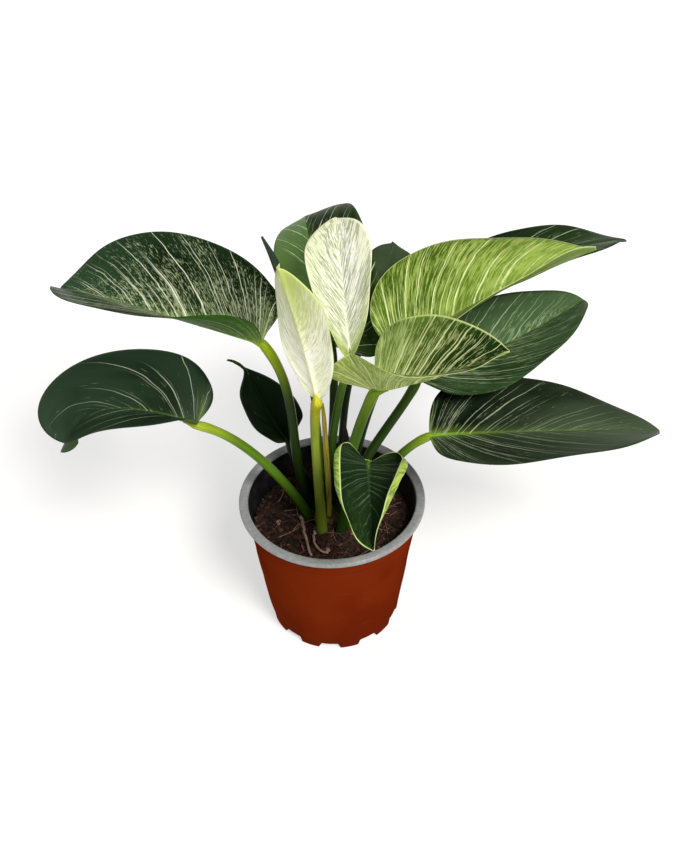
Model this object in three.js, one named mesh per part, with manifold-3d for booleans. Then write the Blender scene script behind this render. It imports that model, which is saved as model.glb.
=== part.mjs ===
// Philodendron birkin in a 13 cm nursery pot.
// Millimetres, +Z up. The origin is the centre of the pot's base.
import * as THREE from "three";
import { mergeVertices } from "three/addons/utils/BufferGeometryUtils.js";
import Module from "manifold-3d";

const wasm = await Module();
wasm.setup();

// ---- driving sizes ---------------------------------------------------------

const GAP = 0.3;

// Pot: thin tapered wall, flat rolled lip, castellated foot.
const POT_BASE_RADIUS = 46.7;
const POT_BODY_TOP_RADIUS = 60.6;
const POT_RIM_RADIUS = 65;
const POT_MOUTH_RADIUS = 58.5;
const POT_HEIGHT = 108.3;
const POT_LIP_THICKNESS = 3.5;
const POT_WALL = 1.6;
const POT_FLOOR = 2;
const FOOT_COUNT = 10;
const FOOT_NOTCH = 3.5;
const FOOT_INNER_RADIUS = 40;
const POT_SEGMENTS = 60;

// Soil, and the stems' places in it.
const SOIL_TOP = 87;
const HOLE_DEPTH = 10;
const HOLE_CLEARANCE = 0.35;
const CROWN_CENTRE = [0, 2];
const CROWN_RADIUS = 10.5;
const CROWN_TOP = 93;
const OUTER_RING = 16.5;
const INNER_RING = 6.5;

// Leaf blades: skin thickness, midrib depth at the base, midrib half-width.
const BLADE_THICKNESS = 0.8;
const RIB_DEPTH = 1.3;
const VEINS = 16;
const RIB_LANES = [0, 0.06, 0.3, 0.65, 1];

// Each leaf. base: where the stalk meets the blade. pitch, roll, fold: from base to tip.
// fold lifts a half off the blade's plane, left half first; curl rolls it on towards the margin.
// hook turns the last part of the tip sideways.
// hem: from which share of the flat width, and by what angle, the margin rolls over tightly.
// lobe: how far each half reaches back behind the stalk.
// stalk: its angle on the ring, its two Bezier handles, its radius at the root and at the blade.
const LEAVES = {
  left_upper: {
    base: [-42, 20, 229], length: 169, halfWidth: 56, widest: 0.68,
    pitch: [8, -20], pitchPower: 1.5, yaw: 163, bend: -26, roll: [-28, 0], foldPower: 2.2,
    foldLeft: [90, 36], foldRight: [54, 40], curl: [-4, 1], lobe: [0, 11],
    stalk: { angle: 152, seat: 0.9, handles: [[-32, 14, 137], [-15, 9, 195]], radius: [3.6, 3.2] },
  },
  left_lower: {
    base: [-88, 2, 177], length: 112, halfWidth: 44, tipTaper: -0.4,
    pitch: [19, -92], pitchPower: 1.8, yaw: 173, bend: -15, roll: [10, -39], foldPower: 1.2,
    foldLeft: [45, 33], foldRight: [47, 94], curl: [-18, 5], lobe: [1, 7],
    stalk: { angle: 180, seat: 1.8, handles: [[-32, 1, 126], [-59, 8, 162]], radius: [3.5, 3] },
  },
  back_left_small: {
    base: [-29, 22, 141], length: 87, halfWidth: 22, widest: 0.6, tipTaper: 6.5,
    pitch: [9, 15], pitchPower: 0.4, yaw: 124, bend: -28, hook: 93, roll: [-9, 5],
    foldLeft: [38, 15], foldRight: [43, 5], curl: [7, -10], lobe: [2, -1],
    stalk: { angle: 124, seat: 1.5, handles: [[-14, 20, 107], [-27, 19, 124]], radius: [3, 2.2] },
  },
  cream_left: {
    base: [-7, -7, 201], length: 121, halfWidth: 22,
    pitch: [80, 73], yaw: -135, bend: 0, roll: [17, 2], widest: 1.33,
    foldLeft: [8, 23], foldRight: [-11, 49], curl: [-12, -14], lobe: [-3, -4],
    stalk: { angle: -118, seat: 0.5, handles: [[-8, -6, 123], [-12, 18, 173]], radius: [3.6, 3.6] },
  },
  cream_center: {
    base: [15, 17, 217], length: 96, halfWidth: 23, foldPower: 1.2, tipTaper: 0.6,
    pitch: [59, 16], pitchPower: 2.1, yaw: 99, bend: -5, roll: [-8, -6], widest: 1.45,
    foldLeft: [42, -8], foldRight: [36, 18], curl: [1, 8], lobe: [2, -1],
    stalk: { angle: 100, inner: true, seat: 1.9, handles: [[-1, 9, 140], [4, 0, 192]], radius: [3, 2.7] },
  },
  back_arching: {
    base: [3, 43, 208], length: 167, halfWidth: 42, widest: 0.6, tipTaper: -0.6,
    pitch: [84, -56], pitchPower: 0.8, yaw: 112, bend: -30, roll: [-22, 14], foldPower: 0.66,
    foldLeft: [-57, -29], foldRight: [29, 20], curl: [-9, -8], lobe: [1, 6],
    stalk: { angle: 96, seat: 1.7, handles: [[0, 27, 132], [6, 14, 181]], radius: [3.4, 3] },
  },
  back_small: {
    base: [30, 51, 213], length: 86, halfWidth: 24,
    pitch: [29, -4], yaw: 70, bend: 14, roll: [4, 3],
    foldLeft: [11, -7], foldRight: [17, -9], curl: [-7, 0], lobe: [0, 1],
    stalk: { angle: 68, seat: 1.35, handles: [[8, 26, 129], [8, 40, 190]], radius: [3, 2.4] },
  },
  lime_upper: {
    base: [42, 12, 225], length: 169, halfWidth: 52,
    pitch: [13, -1], yaw: 32, bend: -3, roll: [-1, -17],
    foldLeft: [53, 15], foldRight: [36, 32], curl: [-16, 8], lobe: [4, 2],
    stalk: { angle: -10, inner: true, seat: 0.85, handles: [[11, 2, 138], [22, 0, 190]], radius: [3, 3] },
  },
  lime_front: {
    base: [29, -17, 217], length: 93, halfWidth: 41, tipTaper: -0.3,
    pitch: [21, 33], yaw: -16, bend: 7, roll: [3, 8], foldPower: 2.3,
    foldLeft: [41, 64], foldRight: [84, 39], curl: [10, -4], lobe: [-3, 25],
    stalk: { angle: -44, seat: 1.1, handles: [[4, -7, 127], [19, -13, 189]], radius: [3.6, 3.6] },
  },
  right_back_dark: {
    base: [82, 111, 192], length: 143, halfWidth: 43, widest: 1.03, tipTaper: 0.2,
    pitch: [33, -5], yaw: 9, bend: 0, roll: [-8, -15], foldPower: 1.2,
    foldLeft: [8, -4], foldRight: [11, 19], curl: [13, -10], lobe: [16, -4],
    stalk: { angle: 40, seat: 1.4, handles: [[16, 16, 146], [38, 62, 192]], radius: [3.2, 2.6] },
  },
  right_middle: {
    base: [60, 24, 192], length: 139, halfWidth: 45, widest: 0.91, tipTaper: -0.6,
    pitch: [-9, 16], pitchPower: 0.7, yaw: 30, bend: -3, roll: [5, -13],
    foldLeft: [13, 14], foldRight: [6, 19], curl: [0, -1], lobe: [4, -4],
    stalk: { angle: 12, seat: 1.4, handles: [[10, 3, 133], [46, 16, 161]], radius: [3.5, 3.2] },
  },
  right_lower: {
    base: [66, -5, 167], length: 170, halfWidth: 46,
    pitch: [-1, -18], yaw: 3, bend: 15, roll: [0, -7],
    foldLeft: [28, 6], foldRight: [7, 20], curl: [-1, 4], lobe: [-1, -1],
    stalk: { angle: -16, seat: 0.85, handles: [[26, -4, 117], [45, 0, 152]], radius: [3.4, 2.8] },
  },
  front_small: {
    base: [24, -34, 171], length: 70, halfWidth: 33,
    pitch: [7, -25], yaw: -91, bend: 2, roll: [-3, 8],
    foldLeft: [2, 66], foldRight: [27, 36], curl: [12, 6], lobe: [8, 9],
    hem: { start: 0.72, angle: 150 }, lanes: [0, 0.06, 0.4, 0.8, 0.88, 0.94, 1],
    stalk: { angle: -72, seat: 1.4, handles: [[9, -18, 117], [17, -17, 150]], radius: [3.2, 2.6] },
  },
};

// The youngest leaf, a narrow spear still rolled up, and the stalk that carries it.
const YOUNG_STALK = {
  path: [[-6, 0, CROWN_TOP + 0.45], [-7, 6, 125], [-8, 12, 160], [-11, 14, 195], [-14, 15, 222]],
  radii: [2, 2.2, 2.1, 2, 2],
};
const YOUNG_LEAF = {
  path: [[-14.1, 15, 222.3], [-17, 15, 242], [-23, 15, 268], [-30.4, 15, 295], [-37.3, 15, 313]],
  radii: [2, 3.2, 3.6, 2.6, 0.8],
};

// Papery sheaths that stand on the crown between the stalks.
const SHEATHS = {
  front: {
    path: [[-2.4, -5.4, CROWN_TOP + GAP], [-2, -6, 120], [-3, -4, 156], [-3.7, 0, 181], [-4.4, 3, 191]],
    radii: [2, 2, 2, 1.4, 0.8],
  },
  back: {
    path: [[5.3, 8.3, CROWN_TOP + GAP], [7.5, 10, 120], [10.8, 12, 148], [9.5, 12, 167]],
    radii: [1.6, 2.4, 2.2, 0.8],
  },
};
const SHEATH_FLATNESS = 0.45;

// Aerial roots that lie on the soil: ground points from end to end.
const ROOTS = {
  left: { path: [[-22, 0], [-20.5, -12], [-18, -24], [-15.5, -38]], radius: 1.2 },
  front: { path: [[-12.5, -14.5], [-13.5, -22], [-10.5, -31], [-4, -36]], radius: 1 },
};

// ---- small helpers ---------------------------------------------------------

const rad = THREE.MathUtils.degToRad;
const lerp = THREE.MathUtils.lerp;
const clamp01 = (t) => Math.min(Math.max(t, 0), 1);
const vec = (a) => new THREE.Vector3(a[0], a[1], a[2]);

function material(color, roughness) {
  return new THREE.MeshStandardMaterial({ color, roughness, metalness: 0 });
}

function meshFrom(positions, triangles) {
  const geometry = new THREE.BufferGeometry();
  geometry.setAttribute("position", new THREE.Float32BufferAttribute(positions, 3));
  geometry.setIndex(triangles);
  return geometry;
}

function toManifold(geometry) {
  const plain = geometry.clone();
  plain.deleteAttribute("normal");
  plain.deleteAttribute("uv");
  const merged = mergeVertices(plain, 1e-4);
  return new wasm.Manifold(new wasm.Mesh({
    numProp: 3,
    vertProperties: new Float32Array(merged.attributes.position.array),
    triVerts: new Uint32Array(merged.index.array),
  }));
}

function fromManifold(solid) {
  const mesh = solid.getMesh();
  return meshFrom(Array.from(mesh.vertProperties), Array.from(mesh.triVerts));
}

// A closed body of revolution round +Z from a closed [radius, height] profile.
function revolve(profile, segments) {
  const points = profile.map(([r, z]) => new THREE.Vector2(r, z));
  const geometry = new THREE.LatheGeometry(points, segments);
  geometry.rotateX(Math.PI / 2);
  return geometry;
}

// A tapered tube with flat ends through the given centres. flat squashes it across its second axis.
function closedTube(centres, radii, sides, across = new THREE.Vector3(0, 1, 0), flat = 1) {
  const positions = [];
  const triangles = [];
  let side = across.clone();
  centres.forEach((centre, i) => {
    const before = centres[Math.max(i - 1, 0)];
    const after = centres[Math.min(i + 1, centres.length - 1)];
    const along = after.clone().sub(before).normalize();
    side = side.clone().addScaledVector(along, -side.dot(along)).normalize();
    const up = along.clone().cross(side);
    for (let k = 0; k < sides; k += 1) {
      const a = (2 * Math.PI * k) / sides;
      const point = centre.clone();
      point.addScaledVector(side, radii[i] * Math.cos(a));
      point.addScaledVector(up, radii[i] * flat * Math.sin(a));
      positions.push(point.x, point.y, point.z);
    }
  });
  for (let i = 0; i + 1 < centres.length; i += 1) {
    for (let k = 0; k < sides; k += 1) {
      const a = i * sides + k;
      const b = i * sides + ((k + 1) % sides);
      triangles.push(a, b, b + sides, a, b + sides, a + sides);
    }
  }
  const last = (centres.length - 1) * sides;
  for (let k = 1; k + 1 < sides; k += 1) {
    triangles.push(0, k + 1, k);
    triangles.push(last, last + k, last + k + 1);
  }
  return meshFrom(positions, triangles);
}

// ---- leaf blade ------------------------------------------------------------

// The midrib as a curve with a frame that travels along it.
function midribOf(leaf) {
  const steps = 40;
  const heading = (t) => {
    const pitch = rad(lerp(leaf.pitch[0], leaf.pitch[1], t ** (leaf.pitchPower ?? 1)));
    const yaw = rad(leaf.yaw + leaf.bend * t + (leaf.hook ?? 0) * t ** 6);
    return { pitch, yaw };
  };
  const tangent = (t) => {
    const { pitch, yaw } = heading(t);
    const level = Math.cos(pitch);
    return new THREE.Vector3(level * Math.cos(yaw), level * Math.sin(yaw), Math.sin(pitch));
  };
  const centres = [vec(leaf.base)];
  for (let i = 1; i <= steps; i += 1) {
    const mean = tangent((i - 1) / steps).add(tangent(i / steps)).multiplyScalar(0.5);
    centres.push(centres[i - 1].clone().addScaledVector(mean, leaf.length / steps));
  }
  return (x) => {
    const t = clamp01(x / leaf.length);
    const i = Math.min(Math.floor(t * steps), steps - 1);
    const position = centres[i].clone().lerp(centres[i + 1], t * steps - i);
    const along = tangent(t);
    position.addScaledVector(along, Math.min(x, 0));
    const { yaw } = heading(t);
    const level = new THREE.Vector3(-Math.sin(yaw), Math.cos(yaw), 0);
    const normal = along.clone().cross(level);
    const roll = rad(lerp(leaf.roll[0], leaf.roll[1], t));
    const left = level.clone().multiplyScalar(Math.cos(roll)).addScaledVector(normal, Math.sin(roll));
    const up = normal.multiplyScalar(Math.cos(roll)).addScaledVector(level, -Math.sin(roll));
    return { position, along, left, up };
  };
}

// Flat blade coordinates: s picks the side vein from the notch (0) to the tip (1),
// v runs along that vein from the midrib (0) to the margin (1).
function flatBlade(leaf, side, s, v) {
  const L = leaf.length;
  const lobe = leaf.lobe[side > 0 ? 0 : 1];
  const notch = s / 0.09;
  const edgeX = (L * (1 - Math.cos(Math.PI * s))) / 2 - lobe * notch * Math.exp(1 - notch);
  const fall = 0.85 + 0.95 * s ** 4 + (leaf.tipTaper ?? 0) * s ** 3;
  const edgeY = leaf.halfWidth * Math.max(Math.sin(Math.PI * s ** (leaf.widest ?? 0.8)), 0) ** fall;
  const rootX = L * s ** 1.5;
  const bendX = rootX + 0.25 * (edgeX - rootX);
  const bendY = 0.62 * edgeY;
  const x = (1 - v) ** 2 * rootX + 2 * v * (1 - v) * bendX + v * v * edgeX;
  const y = 2 * v * (1 - v) * bendY + v * v * edgeY;
  return { x, y, edgeY };
}

function bladePoint(leaf, midrib, side, s, v) {
  const { x, y, edgeY } = flatBlade(leaf, side, s, v);
  const { position, left, up } = midrib(x);
  const t = clamp01(x / leaf.length);
  const [near, far] = side > 0 ? leaf.foldLeft : leaf.foldRight;
  const fold = rad(far + (near - far) * (1 - t) ** (leaf.foldPower ?? 1));
  const curl = rad(leaf.curl[side > 0 ? 0 : 1]) / leaf.halfWidth || 1e-6;
  const hem = leaf.hem ?? { start: 1, angle: 0 };
  const flatY = Math.min(y, hem.start * edgeY);
  const atHem = fold + curl * flatY;
  const tight = curl + rad(hem.angle) / ((1 - hem.start) * leaf.halfWidth || 1);
  const end = atHem + tight * (y - flatY);
  const across = (Math.sin(atHem) - Math.sin(fold)) / curl + (Math.sin(end) - Math.sin(atHem)) / tight;
  const rise = (Math.cos(fold) - Math.cos(atHem)) / curl + (Math.cos(atHem) - Math.cos(end)) / tight;
  return position.addScaledVector(left, side * across).addScaledVector(up, rise);
}

// Upper skin, lower skin and the wall along the margin, closed into one body.
function bladeGeometry(leaf) {
  const midrib = midribOf(leaf);
  const lanes = leaf.lanes ?? RIB_LANES;
  const top = [];
  const depth = [];
  const index = new Map();
  const vertex = (side, i, lane) => {
    const onRib = lane === 0;
    const atPoint = i === 0 || i === VEINS;
    const key = atPoint ? `p${i}` : onRib ? `r${i}` : `${side}:${i}:${lane}`;
    if (!index.has(key)) {
      const s = i / VEINS;
      const v = atPoint ? 0 : lanes[lane];
      index.set(key, top.length);
      top.push(bladePoint(leaf, midrib, side, s, v));
      const rib = onRib && !atPoint ? RIB_DEPTH * (1 - 0.7 * s) : 0;
      depth.push(BLADE_THICKNESS + rib);
    }
    return index.get(key);
  };
  const faces = [];
  const rims = [];
  for (const side of [1, -1]) {
    for (let i = 0; i < VEINS; i += 1) {
      for (let lane = 0; lane + 1 < lanes.length; lane += 1) {
        const a = vertex(side, i, lane);
        const b = vertex(side, i + 1, lane);
        const c = vertex(side, i + 1, lane + 1);
        const d = vertex(side, i, lane + 1);
        const quad = [[a, b, c], [a, c, d]];
        for (const [p, q, r] of quad) {
          if (p !== q && q !== r && r !== p) faces.push(side > 0 ? [p, q, r] : [p, r, q]);
        }
      }
      const rim = lanes.length - 1;
      const p = vertex(side, i, rim);
      const q = vertex(side, i + 1, rim);
      rims.push(side > 0 ? [q, p] : [p, q]);
    }
  }
  const normals = top.map(() => new THREE.Vector3());
  for (const [p, q, r] of faces) {
    const area = top[q].clone().sub(top[p]).cross(top[r].clone().sub(top[p]));
    for (const k of [p, q, r]) normals[k].add(area);
  }
  const positions = [];
  top.forEach((point) => positions.push(point.x, point.y, point.z));
  top.forEach((point, k) => {
    const under = point.clone().addScaledVector(normals[k].normalize(), -depth[k]);
    positions.push(under.x, under.y, under.z);
  });
  const n = top.length;
  const triangles = [];
  for (const [p, q, r] of faces) triangles.push(p, q, r, p + n, r + n, q + n);
  for (const [p, q] of rims) triangles.push(p, p + n, q + n, p, q + n, q);
  return meshFrom(positions, triangles);
}

// ---- leaf stalk ------------------------------------------------------------

function stalkRoot(stalk) {
  const ring = stalk.inner ? INNER_RING : OUTER_RING;
  const a = rad(stalk.angle);
  return [CROWN_CENTRE[0] + ring * Math.cos(a), CROWN_CENTRE[1] + ring * Math.sin(a)];
}

// Inner stalks stand on the crown, outer ones in holes in the soil. The end stays GAP off the blade.
function stalkGeometry(leaf) {
  const { stalk } = leaf;
  const [x, y] = stalkRoot(stalk);
  const foot = stalk.inner ? CROWN_TOP + GAP : SOIL_TOP - HOLE_DEPTH + GAP;
  const start = stalk.inner ? foot + 2 : SOIL_TOP + 1.5;
  const end = vec(leaf.base);
  const handle = vec(stalk.handles[1]);
  const arrive = end.clone().sub(handle).normalize();
  end.addScaledVector(arrive, -stalk.seat);
  const root = new THREE.Vector3(x, y, start);
  const curve = new THREE.CubicBezierCurve3(root, vec(stalk.handles[0]), handle, end);
  const steps = 11;
  const centres = [new THREE.Vector3(x, y, foot)];
  const radii = [stalk.radius[0] - 0.4];
  for (let i = 0; i <= steps; i += 1) {
    const t = i / steps;
    centres.push(curve.getPoint(t));
    radii.push(lerp(stalk.radius[0], stalk.radius[1], t));
  }
  return closedTube(centres, radii, 8);
}

// ---- young leaf, sheaths and roots -------------------------------------------

// A tube through the path's points whose radius runs through the given radii.
function shootGeometry({ path, radii }, steps, sides, flat = 1) {
  const curve = new THREE.CatmullRomCurve3(path.map(vec));
  const centres = [];
  const widths = [];
  for (let i = 0; i <= steps; i += 1) {
    const t = (i / steps) * (path.length - 1);
    const k = Math.min(Math.floor(t), path.length - 2);
    centres.push(curve.getPoint(i / steps));
    widths.push(lerp(radii[k], radii[k + 1], t - k));
  }
  return closedTube(centres, widths, sides, new THREE.Vector3(1, 0, 0), flat);
}

function rootGeometry({ path, radius }) {
  const height = SOIL_TOP + GAP + radius;
  const lying = path.map(([x, y]) => [x, y, height]);
  const radii = path.map((point, i) => radius * (1 - 0.12 * i));
  return shootGeometry({ path: lying, radii }, 9, 6);
}

// ---- the parts -------------------------------------------------------------

const POT_UNDER_LIP = POT_HEIGHT - POT_LIP_THICKNESS;
const potOutline = (z) => lerp(POT_BASE_RADIUS, POT_BODY_TOP_RADIUS, z / POT_UNDER_LIP);
const potInside = (z) => potOutline(z) - POT_WALL;

function potGeometry() {
  const ledge = FOOT_NOTCH + POT_FLOOR;
  const geometry = revolve([
    [0, 0], [FOOT_INNER_RADIUS, 0], [FOOT_INNER_RADIUS + 1.5, 0], [POT_BASE_RADIUS, 0],
    [potOutline(36), 36], [potOutline(72), 72], [POT_BODY_TOP_RADIUS, POT_UNDER_LIP],
    [POT_RIM_RADIUS - 0.4, POT_UNDER_LIP], [POT_RIM_RADIUS, POT_UNDER_LIP + 0.6],
    [POT_RIM_RADIUS, POT_HEIGHT - 1], [POT_RIM_RADIUS - 0.9, POT_HEIGHT],
    [POT_MOUTH_RADIUS + 0.9, POT_HEIGHT], [POT_MOUTH_RADIUS, POT_HEIGHT - 1],
    [potInside(100), 100], [potInside(ledge), ledge],
    [FOOT_INNER_RADIUS - 1, ledge], [FOOT_INNER_RADIUS - 3, POT_FLOOR], [0, POT_FLOOR],
    [0, 0],
  ], POT_SEGMENTS);
  // Raise the foot ring between the feet: three of every six points stand, three are raised,
  // and the middle of one gap is a step to the left of the front (-Y).
  const place = geometry.attributes.position;
  const perFoot = POT_SEGMENTS / FOOT_COUNT;
  for (let k = 0; k < place.count; k += 1) {
    const r = Math.hypot(place.getX(k), place.getY(k));
    if (place.getZ(k) < 1e-6 && r > FOOT_INNER_RADIUS + 1) {
      const turn = Math.atan2(place.getY(k), place.getX(k)) / (2 * Math.PI) + 1.25;
      const step = (Math.round(turn * POT_SEGMENTS) + 2) % perFoot;
      if (step < perFoot / 2) place.setZ(k, FOOT_NOTCH);
    }
  }
  return geometry;
}

function soilGeometry() {
  const bottom = FOOT_NOTCH + POT_FLOOR + GAP;
  let solid = toManifold(revolve([
    [0, bottom], [potInside(bottom) - GAP, bottom],
    [potInside(SOIL_TOP) - GAP, SOIL_TOP - 1.5], [potInside(SOIL_TOP) - 2, SOIL_TOP],
    [0, SOIL_TOP], [0, bottom],
  ], 40));
  const holes = [[CROWN_CENTRE, CROWN_RADIUS]];
  for (const leaf of Object.values(LEAVES)) {
    if (!leaf.stalk.inner) holes.push([stalkRoot(leaf.stalk), leaf.stalk.radius[0]]);
  }
  for (const [[x, y], radius] of holes) {
    const sides = radius > 5 ? 24 : 8;
    const wide = radius + HOLE_CLEARANCE;
    const bore = new THREE.CylinderGeometry(wide, wide, 2 * HOLE_DEPTH, sides);
    bore.rotateX(Math.PI / 2);
    bore.translate(x, y, SOIL_TOP);
    solid = solid.subtract(toManifold(bore));
  }
  return fromManifold(solid);
}

function crownGeometry() {
  const geometry = revolve([
    [0, SOIL_TOP - HOLE_DEPTH + GAP], [CROWN_RADIUS, SOIL_TOP - HOLE_DEPTH + GAP],
    [CROWN_RADIUS, SOIL_TOP], [CROWN_RADIUS - 0.6, CROWN_TOP - 1], [CROWN_RADIUS - 1.2, CROWN_TOP],
    [0, CROWN_TOP], [0, SOIL_TOP - HOLE_DEPTH + GAP],
  ], 24);
  geometry.translate(CROWN_CENTRE[0], CROWN_CENTRE[1], 0);
  return geometry;
}

// ---- assembly --------------------------------------------------------------

const plant = new THREE.Group();

function add(name, geometry, look) {
  const mesh = new THREE.Mesh(geometry, look);
  mesh.name = name;
  plant.add(mesh);
}

const potLook = material(0x9a3a12, 0.55);
const soilLook = material(0x33241a, 0.95);
const crownLook = material(0x5a4a2a, 0.8);
const darkLeaf = material(0x24402c, 0.4);
const limeLeaf = material(0x8fae4a, 0.4);
const creamLeaf = material(0xe6e8c8, 0.4);
const greenStalk = material(0x4f6f2a, 0.45);
const sheathLook = material(0x6b3f22, 0.7);
const rootLook = material(0xa8785a, 0.75);
const looks = { lime: limeLeaf, cream: creamLeaf };

add("pot", potGeometry(), potLook);
add("soil", soilGeometry(), soilLook);
add("crown", crownGeometry(), crownLook);
for (const [name, leaf] of Object.entries(LEAVES)) {
  add(`petiole_${name}`, stalkGeometry(leaf), greenStalk);
  add(`blade_${name}`, bladeGeometry(leaf), looks[name.split("_")[0]] ?? darkLeaf);
}
add("petiole_young", shootGeometry(YOUNG_STALK, 10, 8), greenStalk);
add("blade_young", shootGeometry(YOUNG_LEAF, 12, 8), darkLeaf);
for (const [name, sheath] of Object.entries(SHEATHS)) {
  add(`sheath_${name}`, shootGeometry(sheath, 10, 8, SHEATH_FLATNESS), sheathLook);
}
for (const [name, root] of Object.entries(ROOTS)) {
  add(`root_${name}`, rootGeometry(root), rootLook);
}

export default plant;
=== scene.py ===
"""Philodendron birkin in its 13 cm nursery pot: the finish of every surface.

Shapes are worked out in millimetres and become metres when their mesh is made. The frame is +Z up,
the origin is the centre of the pot's base, and -Y is the front."""
import math

import bmesh
import bpy
import numpy as np
from mathutils import Matrix, Vector


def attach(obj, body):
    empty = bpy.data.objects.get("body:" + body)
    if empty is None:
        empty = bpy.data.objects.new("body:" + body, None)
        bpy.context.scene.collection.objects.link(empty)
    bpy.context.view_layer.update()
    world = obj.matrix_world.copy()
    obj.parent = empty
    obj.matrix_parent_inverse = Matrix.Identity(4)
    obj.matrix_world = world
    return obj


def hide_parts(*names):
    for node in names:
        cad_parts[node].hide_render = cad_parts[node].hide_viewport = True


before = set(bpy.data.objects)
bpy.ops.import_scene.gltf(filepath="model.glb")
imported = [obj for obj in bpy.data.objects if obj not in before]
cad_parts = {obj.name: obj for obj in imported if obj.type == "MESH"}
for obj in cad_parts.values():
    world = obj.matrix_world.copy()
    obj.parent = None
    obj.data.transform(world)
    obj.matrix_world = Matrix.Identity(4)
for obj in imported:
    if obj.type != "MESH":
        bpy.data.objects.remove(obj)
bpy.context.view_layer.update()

MM = 0.001

# ---- sizes the solids share, in millimetres and degrees -------------------------------------

POT_BASE_RADIUS = 46.7
POT_BODY_TOP_RADIUS = 60.6
POT_RIM_RADIUS = 65.0
POT_MOUTH_RADIUS = 58.5
POT_HEIGHT = 108.3
POT_LIP_THICKNESS = 3.5
POT_UNDER_LIP = POT_HEIGHT - POT_LIP_THICKNESS
POT_WALL = 1.6
FOOT_COUNT = 10
FOOT_NOTCH = 3.5
FOOT_INNER_RADIUS = 40.0
FOOT_TURN = -6.0
SOIL_TOP = 87.0
CROWN_CENTRE = (0.0, 2.0)
CROWN_RADIUS = 10.5
CROWN_TOP = 93.0
OUTER_RING = 16.5
INNER_RING = 6.5
HOLE_DEPTH = 10.0
SEAT_GAP = 0.3

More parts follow.
